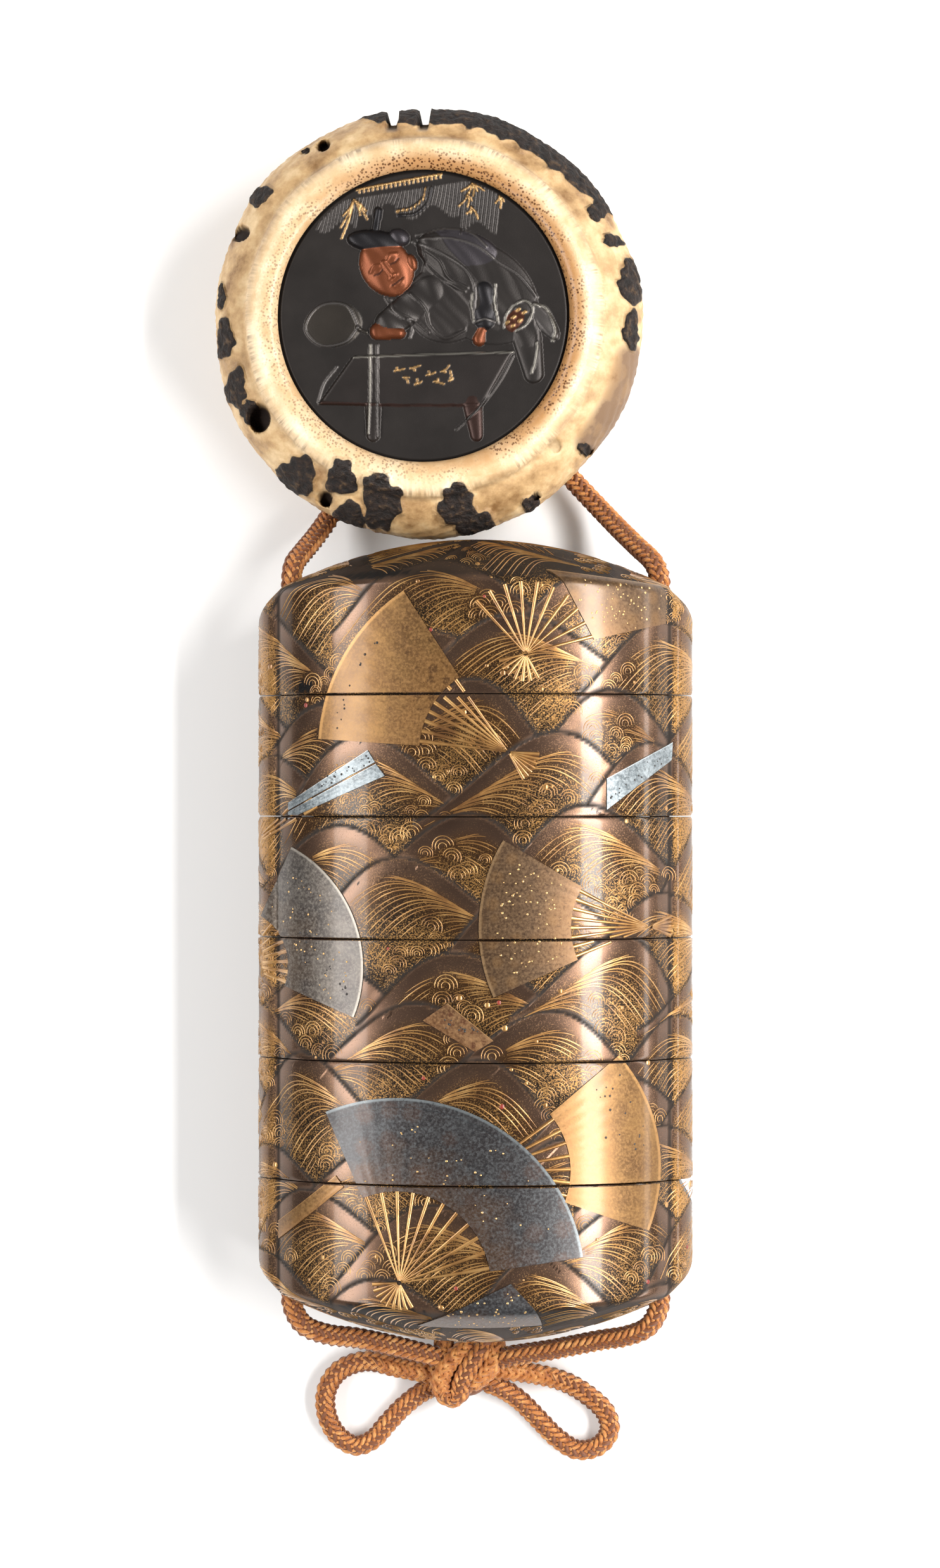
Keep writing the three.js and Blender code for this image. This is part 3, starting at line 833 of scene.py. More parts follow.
def hide_behind(strokes, curls):
    """Marks which points of each stroke are on their own hill, and not under foam or a fan."""
    s, v = (np.concatenate([stroke[axis] for stroke in strokes]) for axis in "sv")
    hill = np.concatenate([np.full(len(stroke["s"]), stroke["hill"]) for stroke in strokes])
    owner, below, above, side = read_sea(s, v)
    shown = (owner == hill) & (above > 0.1) & (below > 0.9 * band_width(side)) & ~is_covered(s, v)
    for curl in curls:
        away = np.hypot(around(s, curl["s"]), v - curl["v"])
        shown &= (away > curl["radius"] + 0.12) | (v < curl["v"] - 0.4 * curl["radius"])
    start = 0
    for stroke in strokes:
        stroke["shown"] = shown[start:start + len(stroke["s"])]
        start += len(stroke["s"])
    return strokes


# %% [markdown]
# ### Foam
#
# Foam gathers behind each crest as a handful of curls. A curl is three arcs about one
# middle, open below, and a curl in front hides what is behind it.

# %% Foam curls
CURL_ARCS = [(1.0, (-8, 190)), (0.7, (-20, 200)), (0.38, (-60, 215))]
CURLS_THAT_MAY_HIDE = 20


def place_curls():
    curls = []
    for index, hill in enumerate(hills):
        count = random.integers(14, 30)
        middle = random.uniform(-0.8, 0.8)
        for _ in range(count):
            u = middle + random.uniform(-0.34, 0.34)
            radius = random.uniform(0.75, 1.35)
            s = hill["s"] + u * hill["half"]
            v = float(crest(hill, np.clip(u, -0.98, 0.98))) + random.uniform(0.1, 3.5)
            if all(math.hypot(around(s, other["s"]), v - other["v"]) > 0.46 * (radius + other["radius"])
                   for other in curls):
                curls.append({"s": s, "v": v, "radius": radius, "behind": index,
                              "tilt": random.uniform(-0.5, 0.5)})
    curls.sort(key=lambda curl: (curl["behind"], -curl["v"]))
    s, v, behind = (np.array([curl[key] for curl in curls]) for key in ("s", "v", "behind"))
    owner, below, _, side = read_sea(s, v)
    kept = (owner < behind) & (owner >= 0) & (below > band_width(side)) & ~is_covered(s, v)
    return [curl for curl, keep in zip(curls, kept) if keep]


def stands_over(s, v, hill):
    """Whether points are above the crest of one hill."""
    u = around(s, hill["s"]) / hill["half"]
    return (np.abs(u) >= 1) | (v > crest(hill, np.clip(u, -1, 1)) + 0.1)


def curl_strokes(curls):
    strokes = []
    for order, curl in enumerate(curls):
        for share, sweep in CURL_ARCS:
            low, high = np.radians(sweep) + curl["tilt"]
            radius = curl["radius"] * share
            turn = np.linspace(low, high, max(7, int(radius * (high - low) / 0.2)))
            drift = 1 - 0.12 * np.linspace(0, 1, len(turn))
            s = curl["s"] + radius * drift * np.cos(turn)
            v = curl["v"] + radius * drift * np.sin(turn)
            shown = ~is_covered(s, v) & stands_over(s, v, hills[curl["behind"]])
            for other in curls[order + 1:order + CURLS_THAT_MAY_HIDE]:
                shown &= np.hypot(around(s, other["s"]), v - other["v"]) > other["radius"] + 0.05
            strokes.append({"s": s, "v": v, "width": 0.13, "shown": shown})
    return strokes


# %% [markdown]
# ### Gold of the lines
#
# The powder on a raised line is burnished until it closes to a warm metal. Slow changes
# of tone show where fingers have rubbed it, and a clear coat keeps it bright.

# %% Gold for the lines
def line_gold():
    material, add, place_in = new_material("gold powder lines")
    wear = add("TexNoise", {"Vector": place_in, "Scale": 1 / (2.5 * MM), "Detail": 4})
    tone = add("ValToRGB", {"Fac": wear}, stops=[(0.3, "#7a532c"), (0.5, "#a67a44"), (0.7, "#c39a60")])
    return finish_with(material, Base_Color=tone, Metallic=0.75, Roughness=0.36, Coat_Weight=0.8,
                       Coat_Roughness=0.1)


LINE_GOLD = line_gold()
curls = place_curls()
print(len(curls), "foam curls")
lay_strokes("wave_lines", hide_behind(wave_lines(), curls) + curl_strokes(curls), LINE_GOLD)

# %% [markdown]
# ### Leaves and ribs
#
# A leaf is drawn flat as a fine grid, cut at the seams, and only then bent round the case.
# Its pleats are a shallow zigzag, and its edge is folded down to the lacquer so that it
# reads as a thin raised layer.

# %% Leaf meshes
LEAF_STEP = 0.3
SKIRT_LIFT = -0.03


def leaf_grid(leaf):
    """Flat grid of a leaf, its faces, and for each point how far out and how pleated it is."""
    if "pivot" in leaf:
        (low, high), (inner, outer) = leaf["angles"], leaf["radii"]
        angle, out = np.meshgrid(
            np.radians(np.linspace(low, high, int((high - low) * 0.3 / LEAF_STEP) + 2)),
            np.linspace(0, 1, int((outer - inner) / LEAF_STEP) + 2))
        radius = inner + (outer - inner) * out
        x, y = leaf["pivot"][0] + radius * np.cos(angle), leaf["pivot"][1] + radius * np.sin(angle)
        pleat = np.degrees(angle) / PLEAT_TURN
    else:
        corners = np.array(leaf["corners"] + leaf["corners"][-1:])[:4]
        along, out = np.meshgrid(np.linspace(0, 1, 30), np.linspace(0, 1, 14))
        near = corners[0] + (corners[3] - corners[0]) * out[..., None]
        far = corners[1] + (corners[2] - corners[1]) * out[..., None]
        x, y = np.moveaxis(near + (far - near) * along[..., None], -1, 0)
        pleat = out * 3
    return x, y, out, pleat, ring_faces(*x.shape, False)


def cut_leaf(x, y, out, pleat, faces, low, high):
    """The part of a flat leaf between two seams, with its edges folded down."""
    mesh = bmesh.new()
    layers = [mesh.verts.layers.float.new(label) for label in ("out", "pleat")]
    made = []
    for across, along, *marks in zip(s_at(x).ravel(), y.ravel(), out.ravel(), pleat.ravel()):
        corner = mesh.verts.new((across, along, LEAF_LIFT))
        corner[layers[0]], corner[layers[1]] = marks
        made.append(corner)
    for face in faces:
        mesh.faces.new([made[i] for i in face])
    for edge, side in ((low, -1), (high, 1)):
        bmesh.ops.bisect_plane(mesh, geom=mesh.verts[:] + mesh.edges[:] + mesh.faces[:], dist=1e-6,
                               plane_co=(0, edge, 0), plane_no=(0, side, 0), clear_outer=True)
    rim = [edge for edge in mesh.edges if edge.is_boundary]
    for corner in bmesh.ops.extrude_edge_only(mesh, edges=rim)["geom"]:
        if isinstance(corner, bmesh.types.BMVert):
            corner.co.z = SKIRT_LIFT
    mesh.verts.index_update()
    flat = np.array([corner.co[:] for corner in mesh.verts]).reshape(-1, 3)
    marks = np.array([[corner[layer] for layer in layers] for corner in mesh.verts])
    cut_faces = sorted([corner.index for corner in face.verts] for face in mesh.faces)
    mesh.free()
    return flat, marks, cut_faces


# %% Laying a leaf
def lay_leaf(label, leaf, material):
    x, y, out, pleat, faces = leaf_grid(leaf)
    limits = [HALF_LENGTH + 20, *SEAMS, -HALF_LENGTH - 20]
    for section, high, low in zip(SECTIONS, limits[:-1], limits[1:]):
        if y.min() > high or y.max() < low:
            continue
        flat, marks, cut = cut_leaf(x, y, out, pleat, faces, low + SEAM_CLEARANCE, high - SEAM_CLEARANCE)
        if not cut:
            continue
        fold = np.abs(marks[:, 1] % 1 - 0.5) * 2
        lift = np.where(flat[:, 2] > 0, flat[:, 2] + PLEAT_LIFT * fold, flat[:, 2])
        piece = new_piece(f"{section}_{label}", place(flat[:, 0], flat[:, 1], lift), cut,
                          material, sharp_above=CRISP)
        figured = np.ones(len(flat))
        if "figured_right_of" in leaf:
            (x0, y0), (x1, y1) = leaf["figured_right_of"]
            off = (x1 - x0) * (flat[:, 1] - y0) - (y1 - y0) * (outline(flat[:, 0])[0] - x0)
            figured = smoothstep(-0.3, 0.3, -off / math.hypot(x1 - x0, y1 - y0))
        add_attributes(piece, out=marks[:, 0], fold=fold, figured=figured * leaf.get("figures", 1))


# %% [markdown]
# ### Finishes of the leaves
#
# Each leaf has its own powder: gold, silver, a rubbed mix that looks like pewter, or brown
# lacquer. The powder is burnished over a raised ground. It wears to the ground near the
# ribs and carries small figures, which cells of a set spacing stand for. Its rim is painted
# brighter, partly a border of paler powder and partly a painted highlight on the raised
# edge, and the valleys of its pleats are painted darker as painted shade. Specks of 0.3 mm
# change its tone and gloss, the bright ones as painted glints, coarser than single grains
# so that they show. Gold gives a soft warm gleam, silver has gone blue-grey, and brown is
# nearly matt.

# %% Leaf finishes
def leaf_finish(name, face, shade, rim, root, figure, share, spacing):
    """The colours of a leaf's parts, how strongly its figures show, and their spacing."""
    material, add, place_in, out, fold, figured = new_material(name, "out", "fold", "figured")
    cloud = add("TexNoise", {"Vector": place_in, "Scale": 1 / (3 * MM), "Detail": 6})
    specks = add("TexNoise", {"Vector": place_in, "Scale": 1 / (0.3 * MM), "Detail": 4, "Roughness": 0.7})
    cells = add("TexVoronoi", {"Vector": place_in, "Scale": 1 / (spacing * MM), "Randomness": 0.35})
    inward = add("Math", {0: cloud, 1: 0.9, 2: out}, operation="MULTIPLY_ADD")
    rays = add("Math", {0: specks, 1: 0.5, 2: cells}, operation="MULTIPLY_ADD")
    near_rim = add("Math", {0: out, 1: -0.9}, operation="ADD")
    near_rim = add("Math", {0: near_rim}, operation="ABSOLUTE")
    kept, at_root, valley, star, line, band, glint, dull, rough = (
        add("MapRange", dict(zip(RANGE, row))) for row in (
            (cloud, 0.3, 0.65, 0, 1), (inward, 0.55, 0.95, 0.85, 0), (fold, 0, 0.3, 0.2, 0),
            (rays, 0.5, 0.66, share, 0), (near_rim, 0, 0.012, 0.5, 0), (out, 0.965, 0.98, 0, 1),
            (specks, 0.45, 0.75, 0, 0.6), (specks, 0.46, 0.28, 0, 0.7), (specks, 0.3, 0.7, 0.28, 0.46)))
    star = add("Math", {0: star, 1: 0.22}, operation="ADD")
    star = add("Math", {0: star, 1: figured}, operation="MULTIPLY")
    # painted light: valley is painted shade in the pleat creases, band partly a painted highlight on the
    # raised rim, glint painted glints on the specks
    tone = shade
    for cover, over in ((kept, face), (at_root, root), (valley, shade), (star, figure), (line, shade),
                        (band, rim), (glint, rim), (dull, shade)):
        tone = add("Mix", {"Factor": cover, "A": tone, "B": over}, data_type="RGBA")
    bump = add("Bump", {"Height": specks, "Strength": 0.25, "Distance": 0.03 * MM})
    return finish_with(material, Base_Color=tone, Metallic=0.6, Roughness=rough, Normal=bump,
                       Coat_Weight=0.25, Coat_Roughness=0.14)


LEAVES = {finish: leaf_finish(*row) for finish, row in {
    "gold": ("gold powder leaf", "#7d5c33", "#604324", "#a07847", "#855f35", "#4a3019", 0.6, 1.5),
    "silver": ("tarnished silver leaf", "#32383c", "#212529", "#6b7072", "#513c2b", "#523c31", 0.32, 3.2),
    "pewter": ("rubbed pewter leaf", "#5f5851", "#3a3634", "#8f887e", "#5b4b3c", "#3a3230", 0.5, 2.4),
    "pale_silver": ("pale silver leaf", "#8d969a", "#535a5e", "#b9c0c2", "#7d868a", "#4d5356", 0.5, 1.0),
    "rose_gold": ("rose gold leaf", "#a07a55", "#573b26", "#a98459", "#7a5636", "#5a3423", 0.6, 1.1),
    "brown": ("brown leaf with gold flakes", "#4c3a2b", "#3b2b20", "#84694a", "#6d4f33", "#7a5a37",
              0.35, 2.2),
}.items()}
for number, leaf in enumerate(ALL_LEAVES):
    lay_leaf(f"fan_{number + 1}_leaf", leaf, LEAVES[leaf["finish"]])

# %% [markdown]
# ### Ribs
#
# The bamboo ribs spread from the pivot to the leaf, and a little way past the pivot. Each
# is a long stroke with a flat top that widens outward.

# %% Ribs
# pivot, first and last angle, number of ribs and their length
RIBS = [
    ((4.1, 21.0), (126, 173), 8, 9.9), ((4.1, 21.0), (300, 356), 7, 3.4),
    ((6.0, 31.7), (15, 133), 10, 7.9), ((6.0, 31.7), (195, 298), 7, 3.0),
    ((19.5, 1.8), (152, 201), 8, 8.8), ((19.5, 1.8), (-25, 25), 5, 2.6),
    ((-26.4, -2.6), (-18, 60), 8, 6.2), ((1.25, -24.7), (-17, 36), 7, 9.8),
    ((1.25, -24.7), (165, 222), 6, 3.0), ((-7.8, -37.0), (10, 112), 11, 10.2),
    ((-7.8, -37.0), (185, 297), 9, 3.0), ((-25.5, 10.2), (30, 42), 3, 9.8),
]


def rib_strokes():
    strokes = []
    for pivot, angles, count, length in RIBS:
        for angle in np.radians(np.linspace(*angles, count)):
            along = np.linspace(0.25, length, max(4, int(length / 0.35)))
            x, y = pivot[0] + along * math.cos(angle), pivot[1] + along * math.sin(angle)
            strokes.append({"s": s_at(x), "v": y, "profile": BAR, "lift": 0.12, "taper": False,
                            "width": 0.16 + 0.32 * np.minimum(1, along / length),
                            "shown": (np.abs(x) < 23.6) & (np.abs(y) < HALF_LENGTH + 3)})
    return strokes


lay_strokes("fan_ribs", rib_strokes(), LINE_GOLD)

# %% [markdown]
# ### Spray and flakes
#
# Drops of spray fly off the waves, and flakes of cut gold lie on the brown leaves. Each is
# a tiny dome. A few are touched in with red lacquer.

# %% Drops
DOT_SIDES = 8
DOT_FOOT = -0.02
# of the dot's radius: how far out its shoulder is, how high that is, and how high the top
SHOULDER_OUT, SHOULDER_UP, TOP_UP = 0.62, 0.16, 0.22
SPRAY_REACH = 43


def lay_dots(name, dots, material, lift=0.0):
    """Domes at places (distance round, distance along, radius) on the case."""
    s, v, radius = np.array(dots).T
    turn = np.linspace(0, 2 * math.pi, DOT_SIDES, endpoint=False)
    for index, section in enumerate(SECTIONS):
        here = section_of(v) == index
        if not here.any():
            continue
        mid_s, mid_v, size, count = s[here, None], v[here, None], radius[here, None], here.sum()
        low, high = (place(mid_s + share * size * np.cos(turn), mid_v + share * size * np.sin(turn), height)
                     for share, height in ((1, lift + DOT_FOOT), (SHOULDER_OUT, lift + SHOULDER_UP * size)))
        top = place(s[here], v[here], lift + TOP_UP * radius[here])
        corner = np.arange(count)[:, None] * DOT_SIDES + np.arange(DOT_SIDES)
        following = np.roll(corner, -1, axis=1)
        inner = count * DOT_SIDES
        peak = np.broadcast_to(2 * inner + np.arange(count)[:, None], corner.shape)
        sides = np.stack([corner, following, inner + following, inner + corner], axis=-1)
        crown = np.stack([inner + corner, inner + following, peak], axis=-1)
        new_piece(f"{section}_{name}", np.vstack([low.reshape(-1, 3), high.reshape(-1, 3), top]),
                  sides.reshape(-1, 4).tolist() + crown.reshape(-1, 3).tolist(), material)


# %% Spray and flakes
def spray(count, low, high):
    s, v, radius = (random.uniform(*limits, count) for limits in
                    ((-GIRTH / 2, GIRTH / 2), (-SPRAY_REACH, SPRAY_REACH), (low, high)))
    owner, below, _, side = read_sea(s, v)
    return np.stack([s, v, radius], axis=1)[(below > band_width(side)) & ~is_covered(s, v)]


def flakes_on(leaf, count):
    """Flakes inside one leaf, thicker towards its middle."""
    if "pivot" in leaf:
        angle = np.radians(random.uniform(leaf["angles"][0] + 4, leaf["angles"][1] - 4, count))
        radius = random.uniform(leaf["radii"][0] + 1, leaf["radii"][1] - 1.8, count)
        x, y = leaf["pivot"][0] + radius * np.cos(angle), leaf["pivot"][1] + radius * np.sin(angle)
    else:
        x, y = (random.dirichlet(np.full(len(leaf["corners"]), 1.1), count) @ np.array(leaf["corners"])).T
    return np.stack([s_at(x), y, random.uniform(0.08, 0.17, count)], axis=1)


def plain_finish(name, hex_value, metallic, roughness):
    """One colour, patchily dulled as small touched-in spots are."""
    material, add, place_in = new_material(name)
    wear = add("TexNoise", {"Vector": place_in, "Scale": 1 / (1.2 * MM), "Detail": 3})
    dull = (*(0.6 * channel for channel in colour(hex_value)[:3]), 1.0)
    tone = add("Mix", {"Factor": wear, "A": dull, "B": hex_value}, data_type="RGBA")
    return finish_with(material, Base_Color=tone, Metallic=metallic, Roughness=roughness)


# cut gold glitters, red lacquer is warm and glossy, and bare ground a dull black
FLAKE_GOLD = plain_finish("cut gold flakes", "#dcb277", 0.8, 0.3)
RED_LACQUER = plain_finish("red lacquer", "#8e3324", 0.0, 0.35)
DARK_DOTS = plain_finish("bare black dots", "#1c1511", 0.0, 0.4)
lay_dots("spray", spray(300, 0.14, 0.38), LINE_GOLD)
lay_dots("red_spray", spray(50, 0.2, 0.34), RED_LACQUER)
flakes = [flakes_on(leaf, leaf["flakes"]) for leaf in ALL_LEAVES if "flakes" in leaf]
lay_dots("flakes", np.concatenate(flakes), FLAKE_GOLD, LEAF_LIFT)

# %% [markdown]
# ### Pin holes
#
# Tiny flakes have dropped out of the leaves and left the black ground bare. They are the
# same domes, dark and almost flat, in bands across a leaf or along a shut fan.

# %% Pinholes in the leaves
# pivot, angles, number and radii of a band round a pivot
PINHOLE_ARCS = [((4.1, 21.0), (134, 172), 14, (18.6, 19.3)), ((1.25, -24.7), (6, 36), 18, (13.5, 18.2))]
# start, end and number of a band along a line
PINHOLE_ROWS = [((-17.0, 17.2), (-11.0, 20.3), 20), ((15.6, 16.0), (21.0, 20.6), 16),
                ((-19.4, 2.0), (-13.4, -6.0), 16), ((-3.4, -8.4), (1.2, -9.6), 14)]


def pinholes():
    dots = []
    for pivot, angles, count, radii in PINHOLE_ARCS:
        angle = np.radians(random.uniform(*angles, count))
        radius = random.uniform(*radii, count)
        x, y = pivot[0] + radius * np.cos(angle), pivot[1] + radius * np.sin(angle)
        dots.append(np.stack([s_at(x), y, random.uniform(0.1, 0.19, count)], axis=1))
    for start, end, count in PINHOLE_ROWS:
        share = random.uniform(0, 1, count)
        x, y = (low + (high - low) * share + random.uniform(-0.5, 0.5, count)
                for low, high in zip(start, end))
        dots.append(np.stack([s_at(x), y, random.uniform(0.1, 0.18, count)], axis=1))
    return np.concatenate(dots)


lay_dots("pinholes", pinholes(), DARK_DOTS, LEAF_LIFT)

# %% [markdown]
# ## The antler bowl
#
# The netsuke is cut from the burr, the knobbly foot of a stag's antler. Its face is turned
# and polished to a cream ring, but outside that the maker left the natural beaded surface,
# with flakes of bark on the rim and pores where the vessels ran. The piece is turned like
# the real one: a profile swept round, then roughened where the knife didn't reach.

# %% Profile and openings of the bowl
BOWL_TURNS = 540
WALL = [(13.0, 0.0), (16.4, 0.45), (19.47, 1.72), (21.9, 3.71), (23.46, 6.22), (24.0, 9.0),
        (23.8, 11.4), (22.6, 13.7), (21.2, 15.2), (20.2, 15.9), (19.8, 17.0), (18.9, 17.9),
        (17.5, 18.3), (16.6, 18.0), (16.15, 17.4), (16.2, 17.25)]
HOLLOW = [(16.6, 17.2), (16.6, 15.6), (14.8, 15.6), (14.8, 7.0), (13.6, 3.8), (11.8, 2.2), (0.4, 2.2)]
# across, along, half sizes and depth
PORES = [(-18.5, -11.0, 1.4, 1.6, 3.0), (-20.7, 9.8, 1.2, 0.95, 2.2), (-11.4, 19.5, 0.8, 0.8, 2.4),
         (-13.5, 18.9, 0.6, 0.45, 0.5), (-11.2, -19.9, 0.9, 0.9, 2.4), (14.5, -14.3, 0.8, 0.8, 0.5),
         (18.2, -14.5, 0.45, 0.45, 1.4), (12.3, -19.7, 0.45, 0.45, 1.4)]
NOTCHES = {"across": [-3.7, -0.2], "half": 0.42, "floor": 22.1, "above": 4.0}
TUNNEL_ANGLES = [242, 313.5]
TUNNEL_HEIGHT = 3.6


def sink_openings(x, y, z, outside, height):
    """Sinks the pores, the mouths of the cord's tunnels and the notches; tells how deep each is."""
    hole = np.zeros(x.shape)
    for at_x, at_y, half_x, half_y, depth in PORES:
        away = np.hypot((x - at_x) / half_x, (y - at_y) / half_y)
        sunk = (1 - smoothstep(0.75, 1.05, away)) * outside * (height > 9)
        z = z - depth * sunk
        hole = np.maximum(hole, sunk * min(1, depth / 1.6))
    for turn in np.radians(TUNNEL_ANGLES):
        sideways = -x * math.sin(turn) + y * math.cos(turn)
        facing = x * math.cos(turn) + y * math.sin(turn) > 15
        sunk = (1 - smoothstep(1.3, 1.75, np.hypot(sideways, z - TUNNEL_HEIGHT))) * outside * facing
        x, y = x - 2.2 * sunk * math.cos(turn), y - 2.2 * sunk * math.sin(turn)
        hole = np.maximum(hole, sunk)
    for across in NOTCHES["across"]:
        cut = 1 - smoothstep(NOTCHES["half"], NOTCHES["half"] + 0.25, np.abs(x - across))
        cut = cut * outside * (y > 0) * smoothstep(NOTCHES["above"], NOTCHES["above"] + 1, z)
        y = y - cut * np.maximum(y - NOTCHES["floor"], 0)
        z = z - cut * 3 * smoothstep(20.6, 22.0, y)
        hole = np.maximum(hole, 0.6 * cut * smoothstep(20.4, 21.4, y))
    return x, y, z, hole


print(len(PORES), "pores,", len(TUNNEL_ANGLES), "cord holes and", len(NOTCHES["across"]), "notches")

# %% [markdown]
# ### Bark and beads
#
# Dark bark clings to the far rim as a lobed band, and in scattered flakes elsewhere. Under
# it the burr is beaded and runnelled. Both are sums of a few waves, so that the pattern
# runs on without an end and costs nothing to change.

# %% Bark and beads
BARK_BAND = {"middle": 69, "half": 38, "inner": 21.7}
# across, along and half sizes
BARK_SPOTS = [
    (-14.2, -17.3, 2.6, 2.1), (-9.1, -17.8, 1.9, 2.0), (-4.8, -20.4, 2.4, 3.2), (3.7, -20.9, 2.3, 2.4),
    (5.6, -22.8, 2.4, 1.5), (-8.6, -21.8, 2.2, 1.6), (-22.6, -2.2, 1.2, 2.6), (-21.2, -7.6, 1.5, 2.3),
    (-22.9, 2.6, 0.6, 1.6), (-18.4, 13.8, 1.7, 1.3), (22.6, 4.0, 1.3, 2.9), (22.7, -1.4, 0.9, 2.4),
    (20.9, 8.7, 1.2, 0.8), (19.2, 11.8, 1.2, 1.0), (11.8, -20.6, 1.0, 1.1), (17.9, -14.6, 0.7, 0.7),
    (-19.6, -10.2, 1.1, 1.4), (-13.3, 18.9, 0.5, 0.4),
]


def bark_at(x, y):
    """How far bark covers the antler, with a lobed edge."""
    angle, radius = np.arctan2(y, x), np.hypot(x, y)
    lobes = 0.5 * np.sin(angle * 41) + 0.35 * np.sin(angle * 67 + radius) + 0.2 * np.sin(radius * 7)
    away = np.abs((np.degrees(angle) - BARK_BAND["middle"] + 180) % 360 - 180) / BARK_BAND["half"]
    inward = BARK_BAND["inner"] + 0.45 * lobes + 1.6 * away ** 6
    covered = smoothstep(-0.5, 0.7, radius - inward) * (away < 1.05)
    for at_x, at_y, half_x, half_y in BARK_SPOTS:
        dx, dy = x - at_x, y - at_y
        turn = np.arctan2(dy, dx)
        edge = 1 + 0.13 * np.sin(3 * turn + at_x) + 0.07 * np.sin(7 * turn + at_y)
        edge += 0.05 * np.sin(x * 4 + y * 3)
        inside = np.hypot(dx / half_x, dy / half_y) / edge
        covered = np.maximum(covered, 1 - smoothstep(0.72, 1.12, inside))
    return covered


def roughness_of_burr(angle, height, radius):
    """Beads and runnels of the natural surface, in millimetres outward."""
    beads = (np.sin(angle * 61 + 2.1 * np.sin(height * 1.3)) * np.sin(height * 2.9 + angle * 17)
             + 0.6 * np.sin(angle * 139 + height * 1.7) + 0.5 * np.sin(angle * 37 - height * 4.1))
    return 0.05 * beads * smoothstep(21.5, 23.5, radius)


print(len(BARK_SPOTS), "flakes of bark")


# %% Antler bowl
def build_bowl(material):
    fine = smooth_through(WALL, 0.2)
    wall = np.concatenate([fine[fine[:, 1] < 8][::3], fine[fine[:, 1] >= 8]])
    profile = np.vstack([[(0.4, 0.0), (11.5, 0.0)], wall, HOLLOW])
    angle = np.linspace(0, 2 * math.pi, BOWL_TURNS, endpoint=False)
    angle, row = np.meshgrid(angle, np.arange(len(profile)))
    radius, height = profile[row, 0], profile[row, 1]
    outside = (row > 1) & (row < 2 + len(wall))
    waver = 0.006 * np.sin(3 * angle + 1) + 0.005 * np.sin(5 * angle + 2.2) + 0.004 * np.sin(11 * angle)
    low_edge = 8.2 + 1.1 * np.sin(3 * angle) + 0.7 * np.sin(11 * angle) + 0.4 * np.sin(29 * angle)
    bark = bark_at(radius * np.cos(angle), radius * np.sin(angle)) * outside
    bark *= smoothstep(-1.6, 0.8, height - low_edge)
    beads = 0.5 + 0.5 * np.sin(angle * 83 + 3 * np.sin(height * 2)) * np.sin(height * 3.7 + radius * 3)
    grown = radius * (1 + smoothstep(17.5, 22, radius) * waver)
    grown += outside * roughness_of_burr(angle, height, radius)
    grown += bark * smoothstep(20, 23, radius) * (0.06 + 0.18 * beads)
    x, y, z, hole = sink_openings(grown * np.cos(angle), grown * np.sin(angle),
                                  height + bark * (0.04 + 0.1 * beads), outside, height)
    points, faces = closed_stack(np.stack([NETSUKE[0] + x, NETSUKE[1] + y, z], axis=-1))
    piece = new_piece("netsuke_antler", points, faces, material)
    pored = (1 - smoothstep(17.0, 19.2, radius)) * outside * (height > 15)
    turn = (np.degrees(angle) + 180) % 360 - 180
    stain = smoothstep(-46, -36, turn) * (1 - smoothstep(-12, -2, turn)) * smoothstep(20, 23, radius)
    marks = {"wild": smoothstep(18.9, 20.6, radius) * outside, "bark": bark, "hole": hole, "stain": stain,
             "pored": pored * (0.55 + 0.45 * smoothstep(-0.6, 0.5, np.cos(angle - 0.5))), "inside": ~outside}
    add_attributes(piece, **{name: np.append(values, [0, 0]) for name, values in marks.items()})
    runs = np.stack([22 * np.cos(angle), 22 * np.sin(angle), radius * 0.6 + height * 0.5], axis=-1)
    add_attributes(piece, "FLOAT_VECTOR", "vector", runs=np.append(runs, np.zeros(6)) * MM)
    return piece
